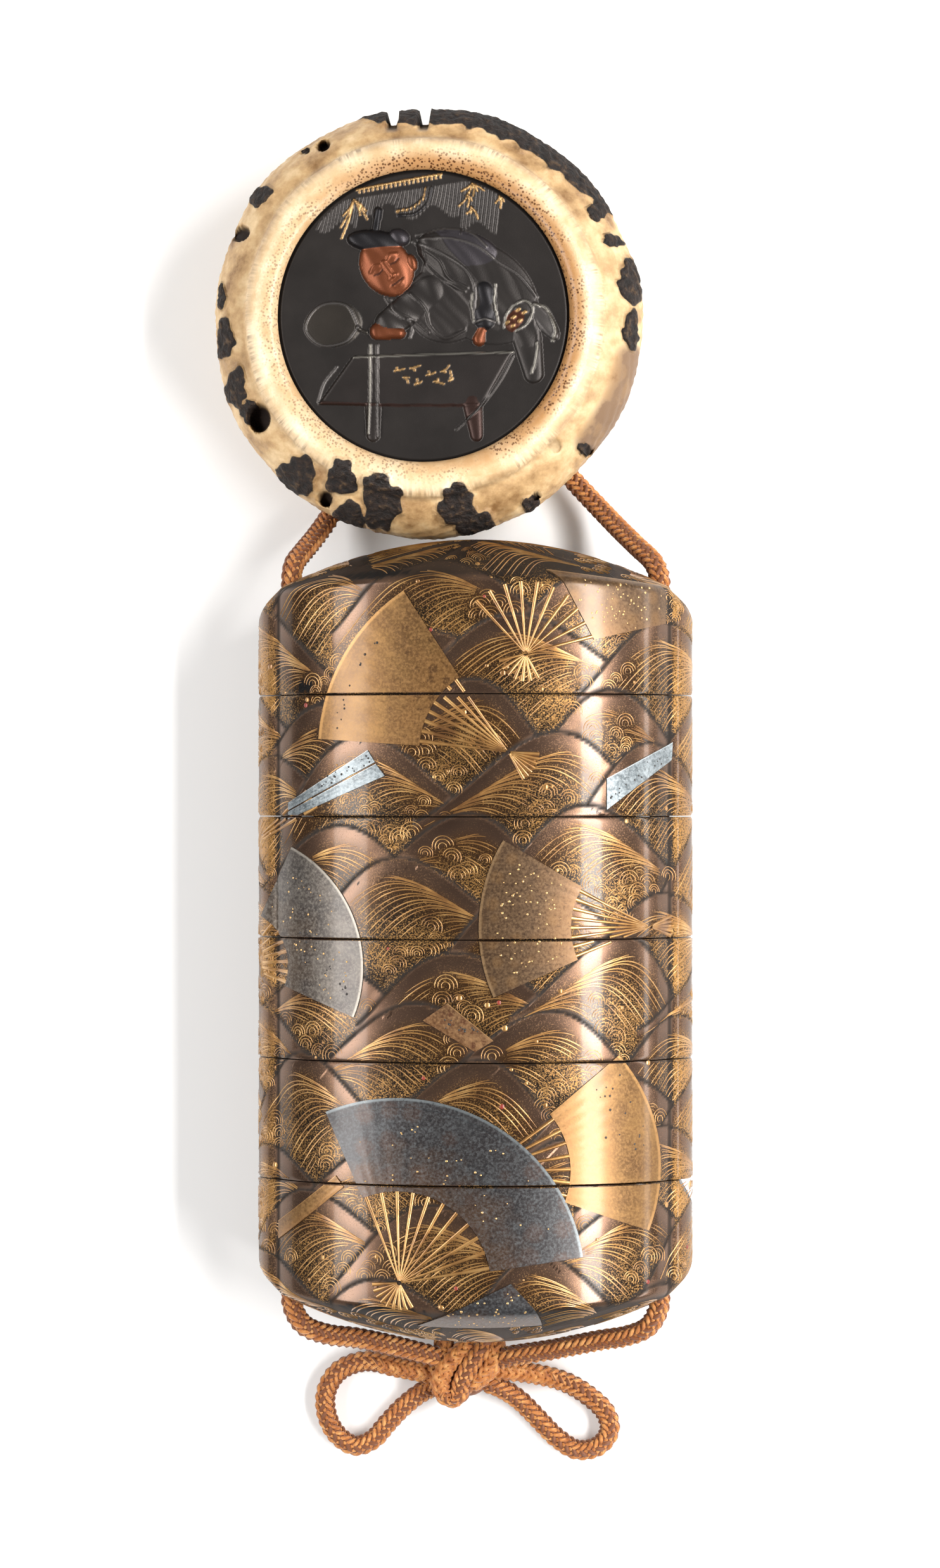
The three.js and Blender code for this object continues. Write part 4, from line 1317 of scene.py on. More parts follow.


# %% [markdown]
# ### Antler
#
# Polished antler is cream, grading to the tan, mottled surface that was never cut. Short
# brown hairs follow the growth where the two meet, dark pores and a toasted tint ring the
# disc, and the bark is nearly black and rough. The sunk openings, large pores, the mouths
# of the cord's tunnels and the notches, are painted darker the deeper they sink, as painted
# shade. Hairs and pores are about a third of a millimetre, a little coarser than real ones
# so that they show. A little light passes into the polished part, as it does into bone, and
# takes the hardness off its shading.

# %% Antler
def antler_finish():
    material, add, place_in, wild, pored, bark, hole, stain, inside = new_material(
        "stag antler", "wild", "pored", "bark", "hole", "stain", "inside")
    runs = add("Attribute", output="Vector", attribute_name="runs")
    cloud, fibres, fine, lumps = (
        add("TexNoise", {"Vector": along, "Scale": 1 / (size * MM), "Detail": detail, "Roughness": rough})
        for along, size, detail, rough in ((place_in, 4, 7, 0.62), (runs, 0.35, 3, 0.5),
                                           (place_in, 0.22, 2, 0.5), (place_in, 0.8, 4, 0.5)))
    pores = add("TexVoronoi", {"Vector": place_in, "Scale": 1 / (0.34 * MM)})
    cream, tan, crust = (add("ValToRGB", {"Fac": factor}, stops=stops) for factor, stops in (
        (cloud, [(0.35, "#c6a67c"), (0.5, "#dcc29b"), (0.65, "#ebd8b8")]),
        (cloud, [(0.32, "#7d5b36"), (0.5, "#b9976a"), (0.66, "#d9be93")]),
        (lumps, [(0.36, "#120c09"), (0.56, "#241811"), (0.74, "#54402b")])))
    meeting = add("Math", {0: wild, 1: -0.45}, operation="ADD")
    meeting = add("Math", {0: meeting}, operation="ABSOLUTE")
    ragged = add("Math", {0: cloud, 1: 1.6, 2: bark}, operation="MULTIPLY_ADD")
    stained, lumpy = (add("Math", {0: first, 1: second}, operation="MULTIPLY")
                      for first, second in ((stain, cloud), (lumps, bark)))
    meeting, hair, patches, dots, some, stained, flaky, rough = (
        add("MapRange", dict(zip(RANGE, row))) for row in (
            (meeting, 0, 0.55, 0.7, 0), (fibres, 0.46, 0.62, 0, 1), (cloud, 0.4, 0.6, 0.2, 1),
            (pores, 0.3, 0.44, 1, 0), (cloud, 0.4, 0.5, 0, 1), (stained, 0.22, 0.48, 0, 1),
            (ragged, 1.2, 1.38, 0, 1), (wild, 0, 1, 0.32, 0.5)))
    toast = add("Math", {0: pored, 1: 1.6}, operation="POWER")
    toast = add("Math", {0: toast, 1: 0.9}, operation="MULTIPLY")
    for other in (meeting, patches):
        hair = add("Math", {0: hair, 1: other}, operation="MULTIPLY")
    for other in (some, pored):
        dots = add("Math", {0: dots, 1: other}, operation="MULTIPLY")
    shown = cream
    # painted shade: the hole mark paints sunk pores, tunnel mouths and notches near-black by depth
    for cover, over in ((wild, tan), (hair, "#6b4c2c"), (toast, "#9c6d3c"), (dots, "#4e2c12"),
                        (stained, "#755a40"), (flaky, crust), (hole, "#1c1009"), (inside, "#3a2c22")):
        shown = add("Mix", {"Factor": cover, "A": shown, "B": over}, data_type="RGBA")
    for mark, more in ((bark, 0.3), (hole, 0.4)):
        rough = add("Math", {0: mark, 1: more, 2: rough}, operation="MULTIPLY_ADD")
    lumpy = add("Bump", {"Height": lumpy, "Strength": 1, "Distance": 0.9 * MM})
    bump = add("Bump", {"Height": fine, "Strength": 0.35, "Distance": 0.08 * MM, "Normal": lumpy})
    return finish_with(material, Base_Color=shown, Roughness=rough, IOR=1.54, Normal=bump,
                       Specular_IOR_Level=0.35, Subsurface_Weight=0.1, Subsurface_Scale=1.2 * MM,
                       Subsurface_Radius=(1.0, 0.7, 0.45))


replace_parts(build_bowl(antler_finish()), "netsuke_bowl")

# %% [markdown]
# ## The metal disc
#
# The disc is a dark copper alloy, its ground beaten to a fine pebble and a scene raised on
# it: someone in a loose robe at a low table with a round fan in hand, under a hanging
# blind. Such a disc is chased in low relief and then inlaid with other metals. Here it is
# one fine sheet of points. Each form lifts the points under it and gives them its metal.

# %% Kinds of form
METALS = {
    "ground": "#2e2a28", "robe": "#302c2a", "sash": "#383437", "table": "#2f2a28",
    "copper": "#6b3920", "dark_copper": "#452416", "silver": "#6f6b64", "pewter": "#4b4745",
    "gold": "#94744a", "cap": "#1f1d1f", "fan": "#332e29", "red_brown": "#33221d",
}


def board(x, y, corners):
    """A flat board with eased edges. Each kind of form gives 0 in its middle and 1 at its edge."""
    return 1 - np.clip(inside_of(corners, x, y) / 0.5, 0, 1)


def mass(x, y, middle, half, tilt):
    """An oval swell, turned by its tilt."""
    turn = math.radians(tilt)
    dx, dy = x - middle[0], y - middle[1]
    along = dx * math.cos(turn) + dy * math.sin(turn)
    across = dy * math.cos(turn) - dx * math.sin(turn)
    return np.hypot(along / half[0], across / half[1])


def limb(x, y, start, end, half):
    """A rounded bar between two places, with a half width at each."""
    (ax, ay), (bx, by) = start, end
    run = (bx - ax) ** 2 + (by - ay) ** 2
    share = np.clip(((x - ax) * (bx - ax) + (y - ay) * (by - ay)) / run, 0, 1)
    wide = half[0] + (half[1] - half[0]) * share
    return np.hypot(x - ax - share * (bx - ax), y - ay - share * (by - ay)) / wide


# %% Forms of the relief
HEAD = {"at": (-4.1, 5.4), "half": (2.75, 3.45), "tilt": 36}
# height, metal, kind and that kind's own measures
FORMS = [
    (0.34, "table", board, [(-11.7, -9.8), (6.6, -9.9), (9.9, -4.1), (-7.9, -4.5)]),
    (0.4, "table", limb, (-5.6, -9.5), (-5.6, -13.2), (0.9, 0.7)),
    (0.4, "red_brown", limb, (5.4, -9.5), (5.9, -13.2), (1.1, 0.7)),
    (0.55, "robe", mass, (6.2, 2.6), (7.0, 5.2), -35),
    (0.58, "robe", mass, (2.6, 1.4), (4.6, 4.4), 10),
    (0.66, "sash", mass, (4.2, 7.2), (4.4, 2.2), -14),
    (0.5, "robe", limb, (10.9, 0.4), (12.2, -6.4), (2.0, 1.1)),
    (0.86, "robe", limb, (1.0, 7.6), (6.8, 0.9), (1.7, 1.5)),
    (0.9, "cap", limb, (6.7, 2.6), (6.8, -0.4), (1.3, 1.35)),
    (0.66, "copper", limb, (6.6, -1.2), (6.2, -2.6), (0.5, 0.75)),
    (0.74, "robe", limb, (0.8, 2.6), (-3.9, -0.9), (2.0, 1.5)),
    (0.8, "copper", limb, (-2.6, -1.9), (-5.0, -1.7), (0.62, 0.95)),
    (0.26, "fan", mass, (-10.0, -0.9), (3.2, 2.5), 8),
    (0.56, "dark_copper", mass, (10.3, -0.4), (2.0, 1.5), 40),
    (0.5, "pewter", mass, (13.3, -0.6), (2.6, 0.95), -52),
    (0.66, "copper", mass, (-1.3, 5.9), (0.55, 0.95), 20),
    (0.98, "copper", mass, *HEAD.values()),
    (0.92, "cap", mass, (-5.4, 8.3), (3.1, 1.2), -6),
    (0.8, "sash", mass, (-2.7, 8.7), (1.2, 0.9), -20),
    (0.45, "cap", limb, (-5.4, 9.2), (-5.0, 11.6), (0.35, 0.45)),
]
print(len(FORMS), "forms on the disc")

# %% [markdown]
# ### Chased and inlaid lines
#
# Wires of silver and gold mark the edges of cloth and table. The face is a plain calm one:
# eyes half way down, the nose's tip half way from there to the chin, the mouth a third of
# the way on.

# %% Lines of the face
# metal, half width, height, places across and up from the line of the eyes, and sides
FACE = [
    ("dark_copper", 0.14, -0.06, [(0.55, -0.1), (1.05, -0.22), (1.55, -0.08)], (-1, 1)),
    ("copper", 0.2, 0.1, [(0.5, 0.55), (1.1, 0.78), (1.75, 0.5)], (-1, 1)),
    ("copper", 0.33, 0.2, [(0, 0.5), (0, -0.6), (0, -1.25)], (1,)),
    ("copper", 0.22, 0.1, [(-0.42, -1.4), (0, -1.3), (0.42, -1.4)], (1,)),
    ("dark_copper", 0.13, -0.07, [(-0.75, -2.08), (0, -2.14), (0.75, -2.08)], (1,)),
    ("copper", 0.2, 0.07, [(-0.4, -2.42), (0, -2.5), (0.4, -2.42)], (1,)),
]


def on_head(across, up):
    turn = math.radians(HEAD["tilt"])
    return (HEAD["at"][0] + across * math.cos(turn) - up * math.sin(turn),
            HEAD["at"][1] + across * math.sin(turn) + up * math.cos(turn))


FACE_LINES = [(metal, half, height, [on_head(side * across, up) for across, up in places])
              for metal, half, height, places, sides in FACE for side in sides]
print(len(FACE_LINES), "lines on the face")

# %% Lines of the relief
# metal, half width, height and the places that the line runs through
LINES = [
    ("silver", 0.16, 0.2, [(-7.7, -4.55), (0.0, -4.3), (9.9, -4.05)]),
    ("red_brown", 0.2, 0.1, [(-11.3, -9.6), (-2.0, -9.9), (6.0, -9.9)]),
    ("silver", 0.15, 0.22, [(-5.9, -3.2), (-5.9, -8.0), (-6.1, -13.0)]),
    ("pewter", 0.14, 0.22, [(-5.1, -3.2), (-5.1, -8.0), (-5.0, -13.4)]),
    ("pewter", 0.14, 0.12, [(-9.6, -5.6), (-11.0, -7.4), (-11.7, -9.5)]),
    ("robe", 0.16, 0.14, [(9.9, -4.5), (8.6, -7.0), (6.2, -10.2), (3.6, -12.6)]),
    ("silver", 0.14, 0.16, [(12.6, -3.0), (12.5, -4.6), (12.0, -6.4)]),
    ("pewter", 0.16, 0.13, [(-1.2, 8.2), (2.0, 6.8), (4.8, 4.9), (5.7, 3.0), (5.5, -0.4)]),
    ("silver", 0.14, 0.16, [(8.0, 3.4), (7.9, 1.4), (8.3, -0.7)]),
    ("silver", 0.14, 0.16, [(5.5, 2.4), (5.35, 1.0), (5.6, -0.6)]),
    ("pewter", 0.15, 0.12, [(5.6, -0.8), (6.9, -0.5), (8.3, -0.9)]),
    ("pewter", 0.15, 0.12, [(-0.8, 8.9), (2.4, 9.6), (5.2, 9.2), (7.0, 7.6)]),
    ("pewter", 0.15, 0.13, [(-0.6, 8.4), (3.0, 8.5), (6.0, 7.6), (8.4, 5.8), (10.6, 4.4), (12.6, 2.0)]),
    ("robe", 0.18, 0.14, [(-0.8, 7.9), (1.8, 6.0), (2.8, 4.2), (4.9, 3.0)]),
    ("robe", 0.18, 0.14, [(-0.2, 7.4), (0.4, 5.6), (2.2, 3.9), (4.6, 2.6)]),
    ("robe", 0.17, 0.14, [(-4.2, 2.0), (-3.2, 0.6), (-1.0, -0.6), (0.6, -1.9)]),
    ("robe", 0.18, 0.16, [(-1.4, 2.4), (0.2, 0.8), (0.8, -1.2), (2.4, -2.5), (4.6, -1.6)]),
    ("pewter", 0.14, 0.12, [(-3.6, 1.8), (-3.4, 0.6), (-2.2, -0.4)]),
    ("pewter", 0.15, 0.14, [(-1.6, -0.5), (-1.2, -1.4), (-1.5, -2.4)]),
    ("fan", 0.2, 0.2, [(-6.3, -1.8), (-7.0, -1.5), (-7.4, -1.2)]),
    ("pewter", 0.15, 0.16, [(-7.2, -1.2), (-8.6, 1.2), (-11.6, 1.1), (-13.1, -1.4), (-11.4, -3.2),
                            (-8.6, -2.8), (-7.2, -1.2)]),
    ("silver", 0.14, 0.12, [(8.9, -1.4), (9.4, 0.4), (11.2, 1.6), (12.1, 0.8), (11.6, -0.8), (10.2, -1.8)]),
    ("silver", 0.2, 0.16, [(12.3, 1.2), (13.4, 0.9), (14.6, -1.6), (14.3, -2.8)]),
    ("gold", 0.16, 0.16, [(-7.4, 14.0), (-2.0, 15.0), (2.0, 15.7)]),
    ("gold", 0.2, 0.16, [(0.3, 14.1), (0.1, 13.2), (-1.2, 12.0), (-2.9, 11.6)]),
    ("cap", 0.16, 0.16, [(0.9, 14.2), (0.5, 12.6), (-0.9, 11.3), (-2.8, 11.1)]),
]

# %% [markdown]
# ### Sprigs and threads
#
# The blind is a row of fine threads with a gold hem, and gold sprigs hang beside it and
# lie on the table. They are too many to place by hand, so rules lay them out.

# %% Sprigs and threads
# place, then angles of its leaves, their length
SPRIGS = [((-7.7, 12.9), (236, 244, 252), 4.6), ((-7.7, 12.9), (292, 304, 316), 2.6),
          ((5.4, 14.6), (215, 245, 275, 305, 330), 1.5), ((4.9, 13.3), (230, 270, 310), 1.5),
          ((5.3, 12.0), (235, 265, 300), 1.5), ((8.4, 13.2), (240, 275, 310), 1.5)]
# place and angle of each pair of strokes on the table
TABLE_MARKS = [(-3.2, -6.1, 12), (-1.4, -5.8, -30), (0.4, -6.6, 20), (2.0, -6.2, -8),
               (-0.9, -7.6, 24), (1.2, -7.3, -14), (2.9, -7.2, 40), (-2.2, -6.8, -50)]
GRAINS = [(9.2, -0.9), (9.9, -0.3), (10.4, 0.5), (11.1, 0.2), (10.6, -0.7), (9.8, -1.3)]


def sprig(at, angles, length):
    """Narrow leaves that hang from one point."""
    lines = []
    for angle in angles:
        turn = math.radians(angle)
        dx, dy = (length * (0.7 + 0.3 * math.sin(angle * 1.7)) * part for part in
                  (math.cos(turn), math.sin(turn)))
        lines.append(("gold", 0.13, 0.11, [at, (at[0] + 0.5 * dx + 0.15, at[1] + 0.5 * dy),
                                           (at[0] + dx, at[1] + dy)]))
    return lines


def fine_work():
    lines = []
    for x in np.arange(-12.4, 8.6, 0.42):
        top = min(14.2 + 0.15 * x, math.sqrt(15.9 ** 2 - x ** 2) - 0.3)
        low = 9.0 + 0.8 * math.sin(x * 1.3) + 0.10 * abs(x) + (2.4 if -7 < x < 4 else 0)
        if top - low > 0.8:
            lines.append(("robe", 0.12, 0.09, [(x + 0.2, top), (x, (top + low) / 2), (x - 0.25, low)]))
    for x in np.arange(-7.2, 2.0, 0.5):
        y = 14.05 + 0.18 * (x + 7.2)
        lines.append(("gold", 0.12, 0.12, [(x, y), (x + 0.08, y - 0.22), (x + 0.1, y - 0.4)]))
    for spray_of_leaves in SPRIGS:
        lines += sprig(*spray_of_leaves)
    for x, y, turn in TABLE_MARKS:
        lines += sprig((x, y), (turn, turn + 46), 1.1)
    for x, y in GRAINS:
        lines.append(("gold", 0.2, 0.12, [(x, y), (x + 0.1, y + 0.1), (x + 0.2, y + 0.15)]))
    return lines


ALL_LINES = FACE_LINES + LINES + fine_work()
print(len(ALL_LINES), "lines on the disc")

# %% [markdown]
# ### Raising the relief
#
# A square sheet of points is bent into a round one, so that its border is a true circle
# and no point is wasted. Forms take the highest of what lies there, and lines add to it.

# %% Disc
DISC_POINTS = 270
DISC_RADIUS = (disc_high[0] - disc_low[0]) / 2
DISC_EDGE = 16.9
DISC_GROUND = 17.15
LINE_POINT_STEP = 0.12
FOLD_HEIGHT = 0.06


def raise_relief(x, y):
    """Height over the ground and the metal's colour at every point."""
    height = np.zeros(x.shape)
    shades = {name: np.array(colour(value)[:3]) for name, value in METALS.items()}
    tone = np.broadcast_to(shades["ground"], (*x.shape, 3)).copy()
    for rise, metal, kind, *measures in FORMS:
        swell = rise * np.sqrt(np.clip(1 - kind(x, y, *measures) ** 2, 0, 1)) ** 0.8
        higher = swell > height
        height = np.where(higher, swell, height)
        tone[higher] = shades[metal]
    cloth = (height > 0.4) * (y > -3.5)
    height += FOLD_HEIGHT * np.sin(x * 2.3 + y * 1.6 + np.sin(y * 0.8)) * cloth
    for metal, half, rise, places in ALL_LINES:
        middle = smooth_through(places, LINE_POINT_STEP)
        low, high = middle.min(axis=0) - half, middle.max(axis=0) + half
        near = (x > low[0]) & (x < high[0]) & (y > low[1]) & (y < high[1])
        if not near.any():
            continue
        away = np.min(np.hypot(x[near][:, None] - middle[:, 0], y[near][:, None] - middle[:, 1]), axis=1)
        share = np.clip(1 - (away / half) ** 2, 0, 1)
        height[near] += rise * np.sqrt(share)
        cover = smoothstep(0.05, 0.5, share)[:, None]
        tone[near] = tone[near] * (1 - cover) + shades[metal] * cover
    return height, tone


# %% Mesh of the disc
def build_disc(material):
    u, v = np.meshgrid(*[np.linspace(-1, 1, DISC_POINTS)] * 2)
    x, y = DISC_RADIUS * u * np.sqrt(1 - v ** 2 / 2), DISC_RADIUS * v * np.sqrt(1 - u ** 2 / 2)
    height, tone = raise_relief(x, y)
    from_edge = DISC_RADIUS - np.hypot(x, y)
    z = DISC_EDGE + (DISC_GROUND - DISC_EDGE) * smoothstep(0, 0.6, from_edge)
    z += height * smoothstep(0.1, 0.9, from_edge)
    top = np.stack([x, y, z], axis=-1).reshape(-1, 3) + [*NETSUKE, 0]
    index = np.arange(DISC_POINTS ** 2).reshape(DISC_POINTS, -1)
    border = np.concatenate([index[0, :-1], index[:-1, -1], index[-1, :0:-1], index[:0:-1, 0]])
    under = top[border] * [1, 1, 0] + [0, 0, disc_low[2]]
    lower = len(top) + np.arange(len(border))
    following = np.roll(lower, -1)
    middle = np.full(len(border), len(top) + len(border))
    faces = (ring_faces(DISC_POINTS, DISC_POINTS, False).tolist()
             + np.stack([border, lower, following, np.roll(border, -1)], axis=-1).tolist()
             + np.stack([lower, middle, following], axis=-1).tolist())
    points = np.vstack([top, under, [*NETSUKE, disc_low[2]]])
    piece = new_piece("netsuke_metal_disc", points, faces, material)
    shades = np.tile(colour(METALS["ground"]), (len(points), 1))
    shades[:len(top), :3] = tone.reshape(-1, 3)
    add_attributes(piece, "FLOAT_COLOR", "color", inlay=shades)
    return piece


# %% [markdown]
# ### Patinated metal
#
# The alloy is pickled until it goes dark, and the patina stays matt. The ground is beaten
# with a punch of about 0.16 mm, which breaks up what glints there are, and slow clouds of
# tone keep it from looking painted.

# %% Patinated metal
def disc_finish():
    material, add, place_in = new_material("patinated copper alloy")
    inlay = add("Attribute", output="Color", attribute_name="inlay")
    pebble = add("TexVoronoi", {"Vector": place_in, "Scale": 1 / (0.16 * MM)})
    cloud = add("TexNoise", {"Vector": place_in, "Scale": 1 / (4 * MM), "Detail": 5})
    dim = add("MapRange", dict(zip(RANGE, (cloud, 0.3, 0.7, 0.8, 1.15))))
    shown = add("Mix", {"Factor": 1.0, "A": inlay, "B": dim}, data_type="RGBA", blend_type="MULTIPLY")
    bump = add("Bump", {"Height": pebble, "Strength": 0.25, "Distance": 0.02 * MM})
    return finish_with(material, Base_Color=shown, Metallic=0.65, Roughness=0.4, Normal=bump)


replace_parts(build_disc(disc_finish()), "netsuke_disc")

# %% [markdown]
# ## The silk cord
#
# The cord is a round braid of sixteen strands: half of them wind one way and half the
# other, passing over and under each other. That is what makes the columns of slanting
# stitches. Each strand is swept along the cord's path at its own angle, and its distance
# from the middle rises and falls as it passes over and under.

# %% Cord routes
BORE_HEIGHT = 12.0
ON_TABLE = 1.25


def in_tunnel(index):
    turn = math.radians(TUNNEL_ANGLES[index])
    return [(NETSUKE[0] + radius * math.cos(turn), NETSUKE[1] + radius * math.sin(turn), TUNNEL_HEIGHT)
            for radius in (12.2, 16, 21.4)]


def down_the_bore(x):
    return [(x, y, BORE_HEIGHT) for y in (38.5, 32, 16, 0, -16, -32, -38.5)]


LEFT_RUN = [*in_tunnel(0), (-17.0, 47.8, 4.1), (-18.3, 45.6, 6.0), (-19.5, 43.7, 8.8), (-20.4, 42.1, 11.0),
            (-20.6, 40.6, 11.9), *down_the_bore(-20.6), (-20.5, -41.0, 11.9), (-19.3, -43.2, 11.3),
            (-16.8, -44.4, 10.1), (-13.6, -45.0, 8.6), (-9.6, -46.1, 6.6), (-5.8, -47.3, 4.9),
            (-3.8, -48.0, 3.7), (-2.6, -48.4, 3.0)]
RIGHT_RUN = [*in_tunnel(1), (11.4, 51.4, 3.7), (13.7, 48.9, 4.5), (16.0, 46.4, 6.3), (18.2, 44.1, 8.9),
             (20.0, 42.2, 11.1), (20.6, 40.6, 11.9), *down_the_bore(20.6), (20.5, -41.0, 11.9),
             (19.3, -43.2, 11.3), (16.9, -44.4, 10.2), (14.2, -45.0, 9.0), (8.2, -46.5, 6.6),
             (3.9, -47.4, 4.9), (2.2, -48.0, 3.7), (1.0, -48.4, 3.0)]
LEFT_BOW = [(-3.2, -50.0, 3.2), (-5.9, -49.7, 2.6), (-9.4, -49.2, 1.6),
            *((x, y, ON_TABLE) for x, y in ((-12.9, -48.6), (-16.0, -49.7), (-17.5, -52.0), (-17.5, -54.6),
                                            (-16.3, -57.0), (-14.2, -58.3), (-12.2, -57.6), (-10.6, -55.8))),
            (-8.6, -53.7, 1.3), (-6.2, -51.9, 1.5), (-3.4, -50.9, 2.4)]
RIGHT_BOW = [(0.6, -49.3, 3.2), (2.9, -49.4, 2.6), (6.3, -49.9, 1.7),
             *((x, y, ON_TABLE) for x, y in ((9.7, -50.8), (12.5, -52.4), (14.5, -54.4), (14.9, -56.4),
                                             (13.7, -58.1), (11.3, -58.6), (9.0, -57.3), (6.8, -55.1))),
             (4.6, -52.9, 1.4), (2.4, -51.4, 2.0), (0.4, -50.6, 2.6)]
print(len(LEFT_RUN), "and", len(RIGHT_RUN), "places on the two long runs")

# %% Strands
BRAID_PITCH = 7.2
STRAND = {"count": 16, "centre": 0.84, "weave": 0.13, "wide": 0.33, "thick": 0.27, "sides": 6}
CORE_RADIUS = STRAND["centre"] - 0.08
CORE_PHASE = -9.0
THREADS = {"round_strand": 5, "slant": 1.1}
HIDDEN = {"along": 37, "across": 19, "every": 14}
PATH_STEP = 0.22


def in_bore(path):
    """Where the cord runs unseen through the case; there its strands lie straight."""
    return (np.abs(path[:, 1]) < HIDDEN["along"]) & (np.abs(path[:, 0]) > HIDDEN["across"])


def frames_along(path):
    """Two directions across the path at each point, carried along without twisting."""
    ahead = np.gradient(path, axis=0)
    ahead /= np.linalg.norm(ahead, axis=1, keepdims=True)
    side = np.cross(ahead[0], [0.31, 0.2, 0.93])
    side /= np.linalg.norm(side)
    sides = []
    for direction in ahead:
        side = side - direction * np.dot(side, direction)
        side /= np.linalg.norm(side)
        sides.append(side)
    return np.array(sides), np.cross(ahead, sides)


def tube_faces(rings, count, start):
    last = start + (rings - 1) * count
    return [*ring_faces(rings, count, True, start).tolist(),
            list(range(start + count - 1, start - 1, -1)), list(range(last, last + count))]


# %% Braid
def braid(path, taper):
    """Points, faces and thread phase of a braided cord along a path."""
    side, up = frames_along(path)
    along = run_of(path)
    wound = np.concatenate([[0], np.cumsum(np.where(in_bore(path), 0, 1)[1:] * np.diff(along))])
    turn = 2 * math.pi * wound / BRAID_PITCH
    end = np.clip(np.minimum(along, along[-1] - along) / 0.8, 0, 1) if taper else np.ones(len(along))
    squeeze = 0.55 + 0.45 * np.sqrt(end)
    around_strand = np.linspace(0, 2 * math.pi, STRAND["sides"], endpoint=False)
    points, faces, phases = [], [], []
    for strand in range(STRAND["count"] + 1):
        core = strand == STRAND["count"]
        way = -1 if strand % 2 else 1
        angle = way * turn + (strand // 2) * 4 * math.pi / STRAND["count"]
        radius = STRAND["centre"] + way * STRAND["weave"] * np.cos(4 * angle)
        wide, thick = STRAND["wide"], STRAND["thick"]
        if core:
            angle = radius = np.zeros(len(path))
            wide = thick = CORE_RADIUS
        outward = side * np.cos(angle)[:, None] + up * np.sin(angle)[:, None]
        sideways = up * np.cos(angle)[:, None] - side * np.sin(angle)[:, None]
        centre = path + outward * (radius * squeeze)[:, None]
        ring = (centre[:, None] + squeeze[:, None, None]
                * (outward[:, None] * (thick * np.cos(around_strand))[None, :, None]
                   + sideways[:, None] * (wide * np.sin(around_strand))[None, :, None]))
        faces += tube_faces(len(path), STRAND["sides"], len(points) * ring[..., 0].size)
        points.append(ring.reshape(-1, 3))
        share = np.broadcast_to(around_strand / (2 * math.pi), ring.shape[:2])
        phase = share * THREADS["round_strand"] - along[:, None] * THREADS["slant"] * way
        phases.append(np.where(core, CORE_PHASE, phase).ravel())
    return np.concatenate(points), faces, np.concatenate(phases)


print("each cord has", STRAND["count"], "strands round a core")

# %% [markdown]
# ### Silk
#
# Each strand is a bundle of silk threads. They show as fine slanting lines with a soft
# sheen, each painted a little lighter on its crest and darker in its groove as painted
# shade and highlight. The core that shows in the valleys between strands is painted dark,
# as painted shade. A real strand has dozens of threads. Here five turns of a wave go round
# it, as coarse as they have to be to show.

# %% Silk finish
def silk_finish():
    material, add, place_in, phase = new_material("braided silk", "thread")
    turn = add("Math", {0: phase, 1: 2 * math.pi}, operation="MULTIPLY")
    threads = add("Math", {0: turn}, operation="SINE")
    shade = add("TexNoise", {"Vector": place_in, "Scale": 1 / (0.9 * MM), "Detail": 4})
    tone = add("ValToRGB", {"Fac": shade}, stops=[(0.3, "#93521f"), (0.5, "#b97538"), (0.7, "#d69c5c")])
    # painted shade and highlight: each thread is painted lighter on its crest and darker in its groove
    light = add("MapRange", dict(zip(RANGE, (threads, -1, 1, 0.8, 1.12))))
    shown = add("Mix", {"Factor": 1.0, "A": tone, "B": light}, data_type="RGBA", blend_type="MULTIPLY")
    # painted shade: the core, seen in the valleys between strands, is painted dark brown
    strand = add("Math", {0: phase, 1: CORE_PHASE + 0.5}, operation="GREATER_THAN")
    shown = add("Mix", {"Factor": strand, "A": "#713f1d", "B": shown}, data_type="RGBA")
    bump = add("Bump", {"Height": threads, "Strength": 0.4, "Distance": 0.04 * MM})
    return finish_with(material, Base_Color=shown, Roughness=0.62, Sheen_Weight=0.25,
                       Sheen_Roughness=0.4, Normal=bump)


SILK = silk_finish()


# %% Cord pieces
def cord_piece(name, route, node_name, exit_index, with_pieces=()):
    path = smooth_through(route, PATH_STEP)
    seen = ~in_bore(path) | (np.arange(len(path)) % HIDDEN["every"] == 0)
    points, faces, phases = braid(path[seen], True)
    piece = new_piece(name, points, faces, SILK)
    add_attributes(piece, thread=phases)
    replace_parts(piece, node_name)
    tuple(np.array(route[exit_index]) * MM)


# %% [markdown]
# ### The knot
#
# A shoelace bow, as an inro's cord is tied: two wraps slant over the middle and one short
# loop hangs at the lower left. Each is a length of the same braid, over a core that fills
# the middle of the knot.

# %% Knot
WRAPS = [
    [(0.2, -45.9, 3.0), (-1.6, -46.9, 4.2), (-3.4, -48.5, 4.7), (-4.2, -50.3, 4.6),
     (-3.9, -51.8, 4.1), (-3.0, -52.4, 3.9), (-2.2, -51.8, 4.2), (-1.8, -50.3, 4.6),
     (-0.9, -48.6, 4.9), (0.4, -46.9, 4.5), (1.2, -45.8, 3.0)],
    [(1.8, -45.7, 2.6), (2.0, -46.9, 3.8), (1.5, -48.4, 4.4), (0.4, -49.8, 4.3),
     (-0.7, -50.6, 3.6), (-1.5, -50.9, 2.2)],
    [(-4.0, -45.8, 2.2), (-3.8, -46.8, 3.3), (-3.0, -47.7, 3.5), (-2.0, -48.4, 3.2)],
]
CORE_RINGS, CORE_TURNS = 14, 28


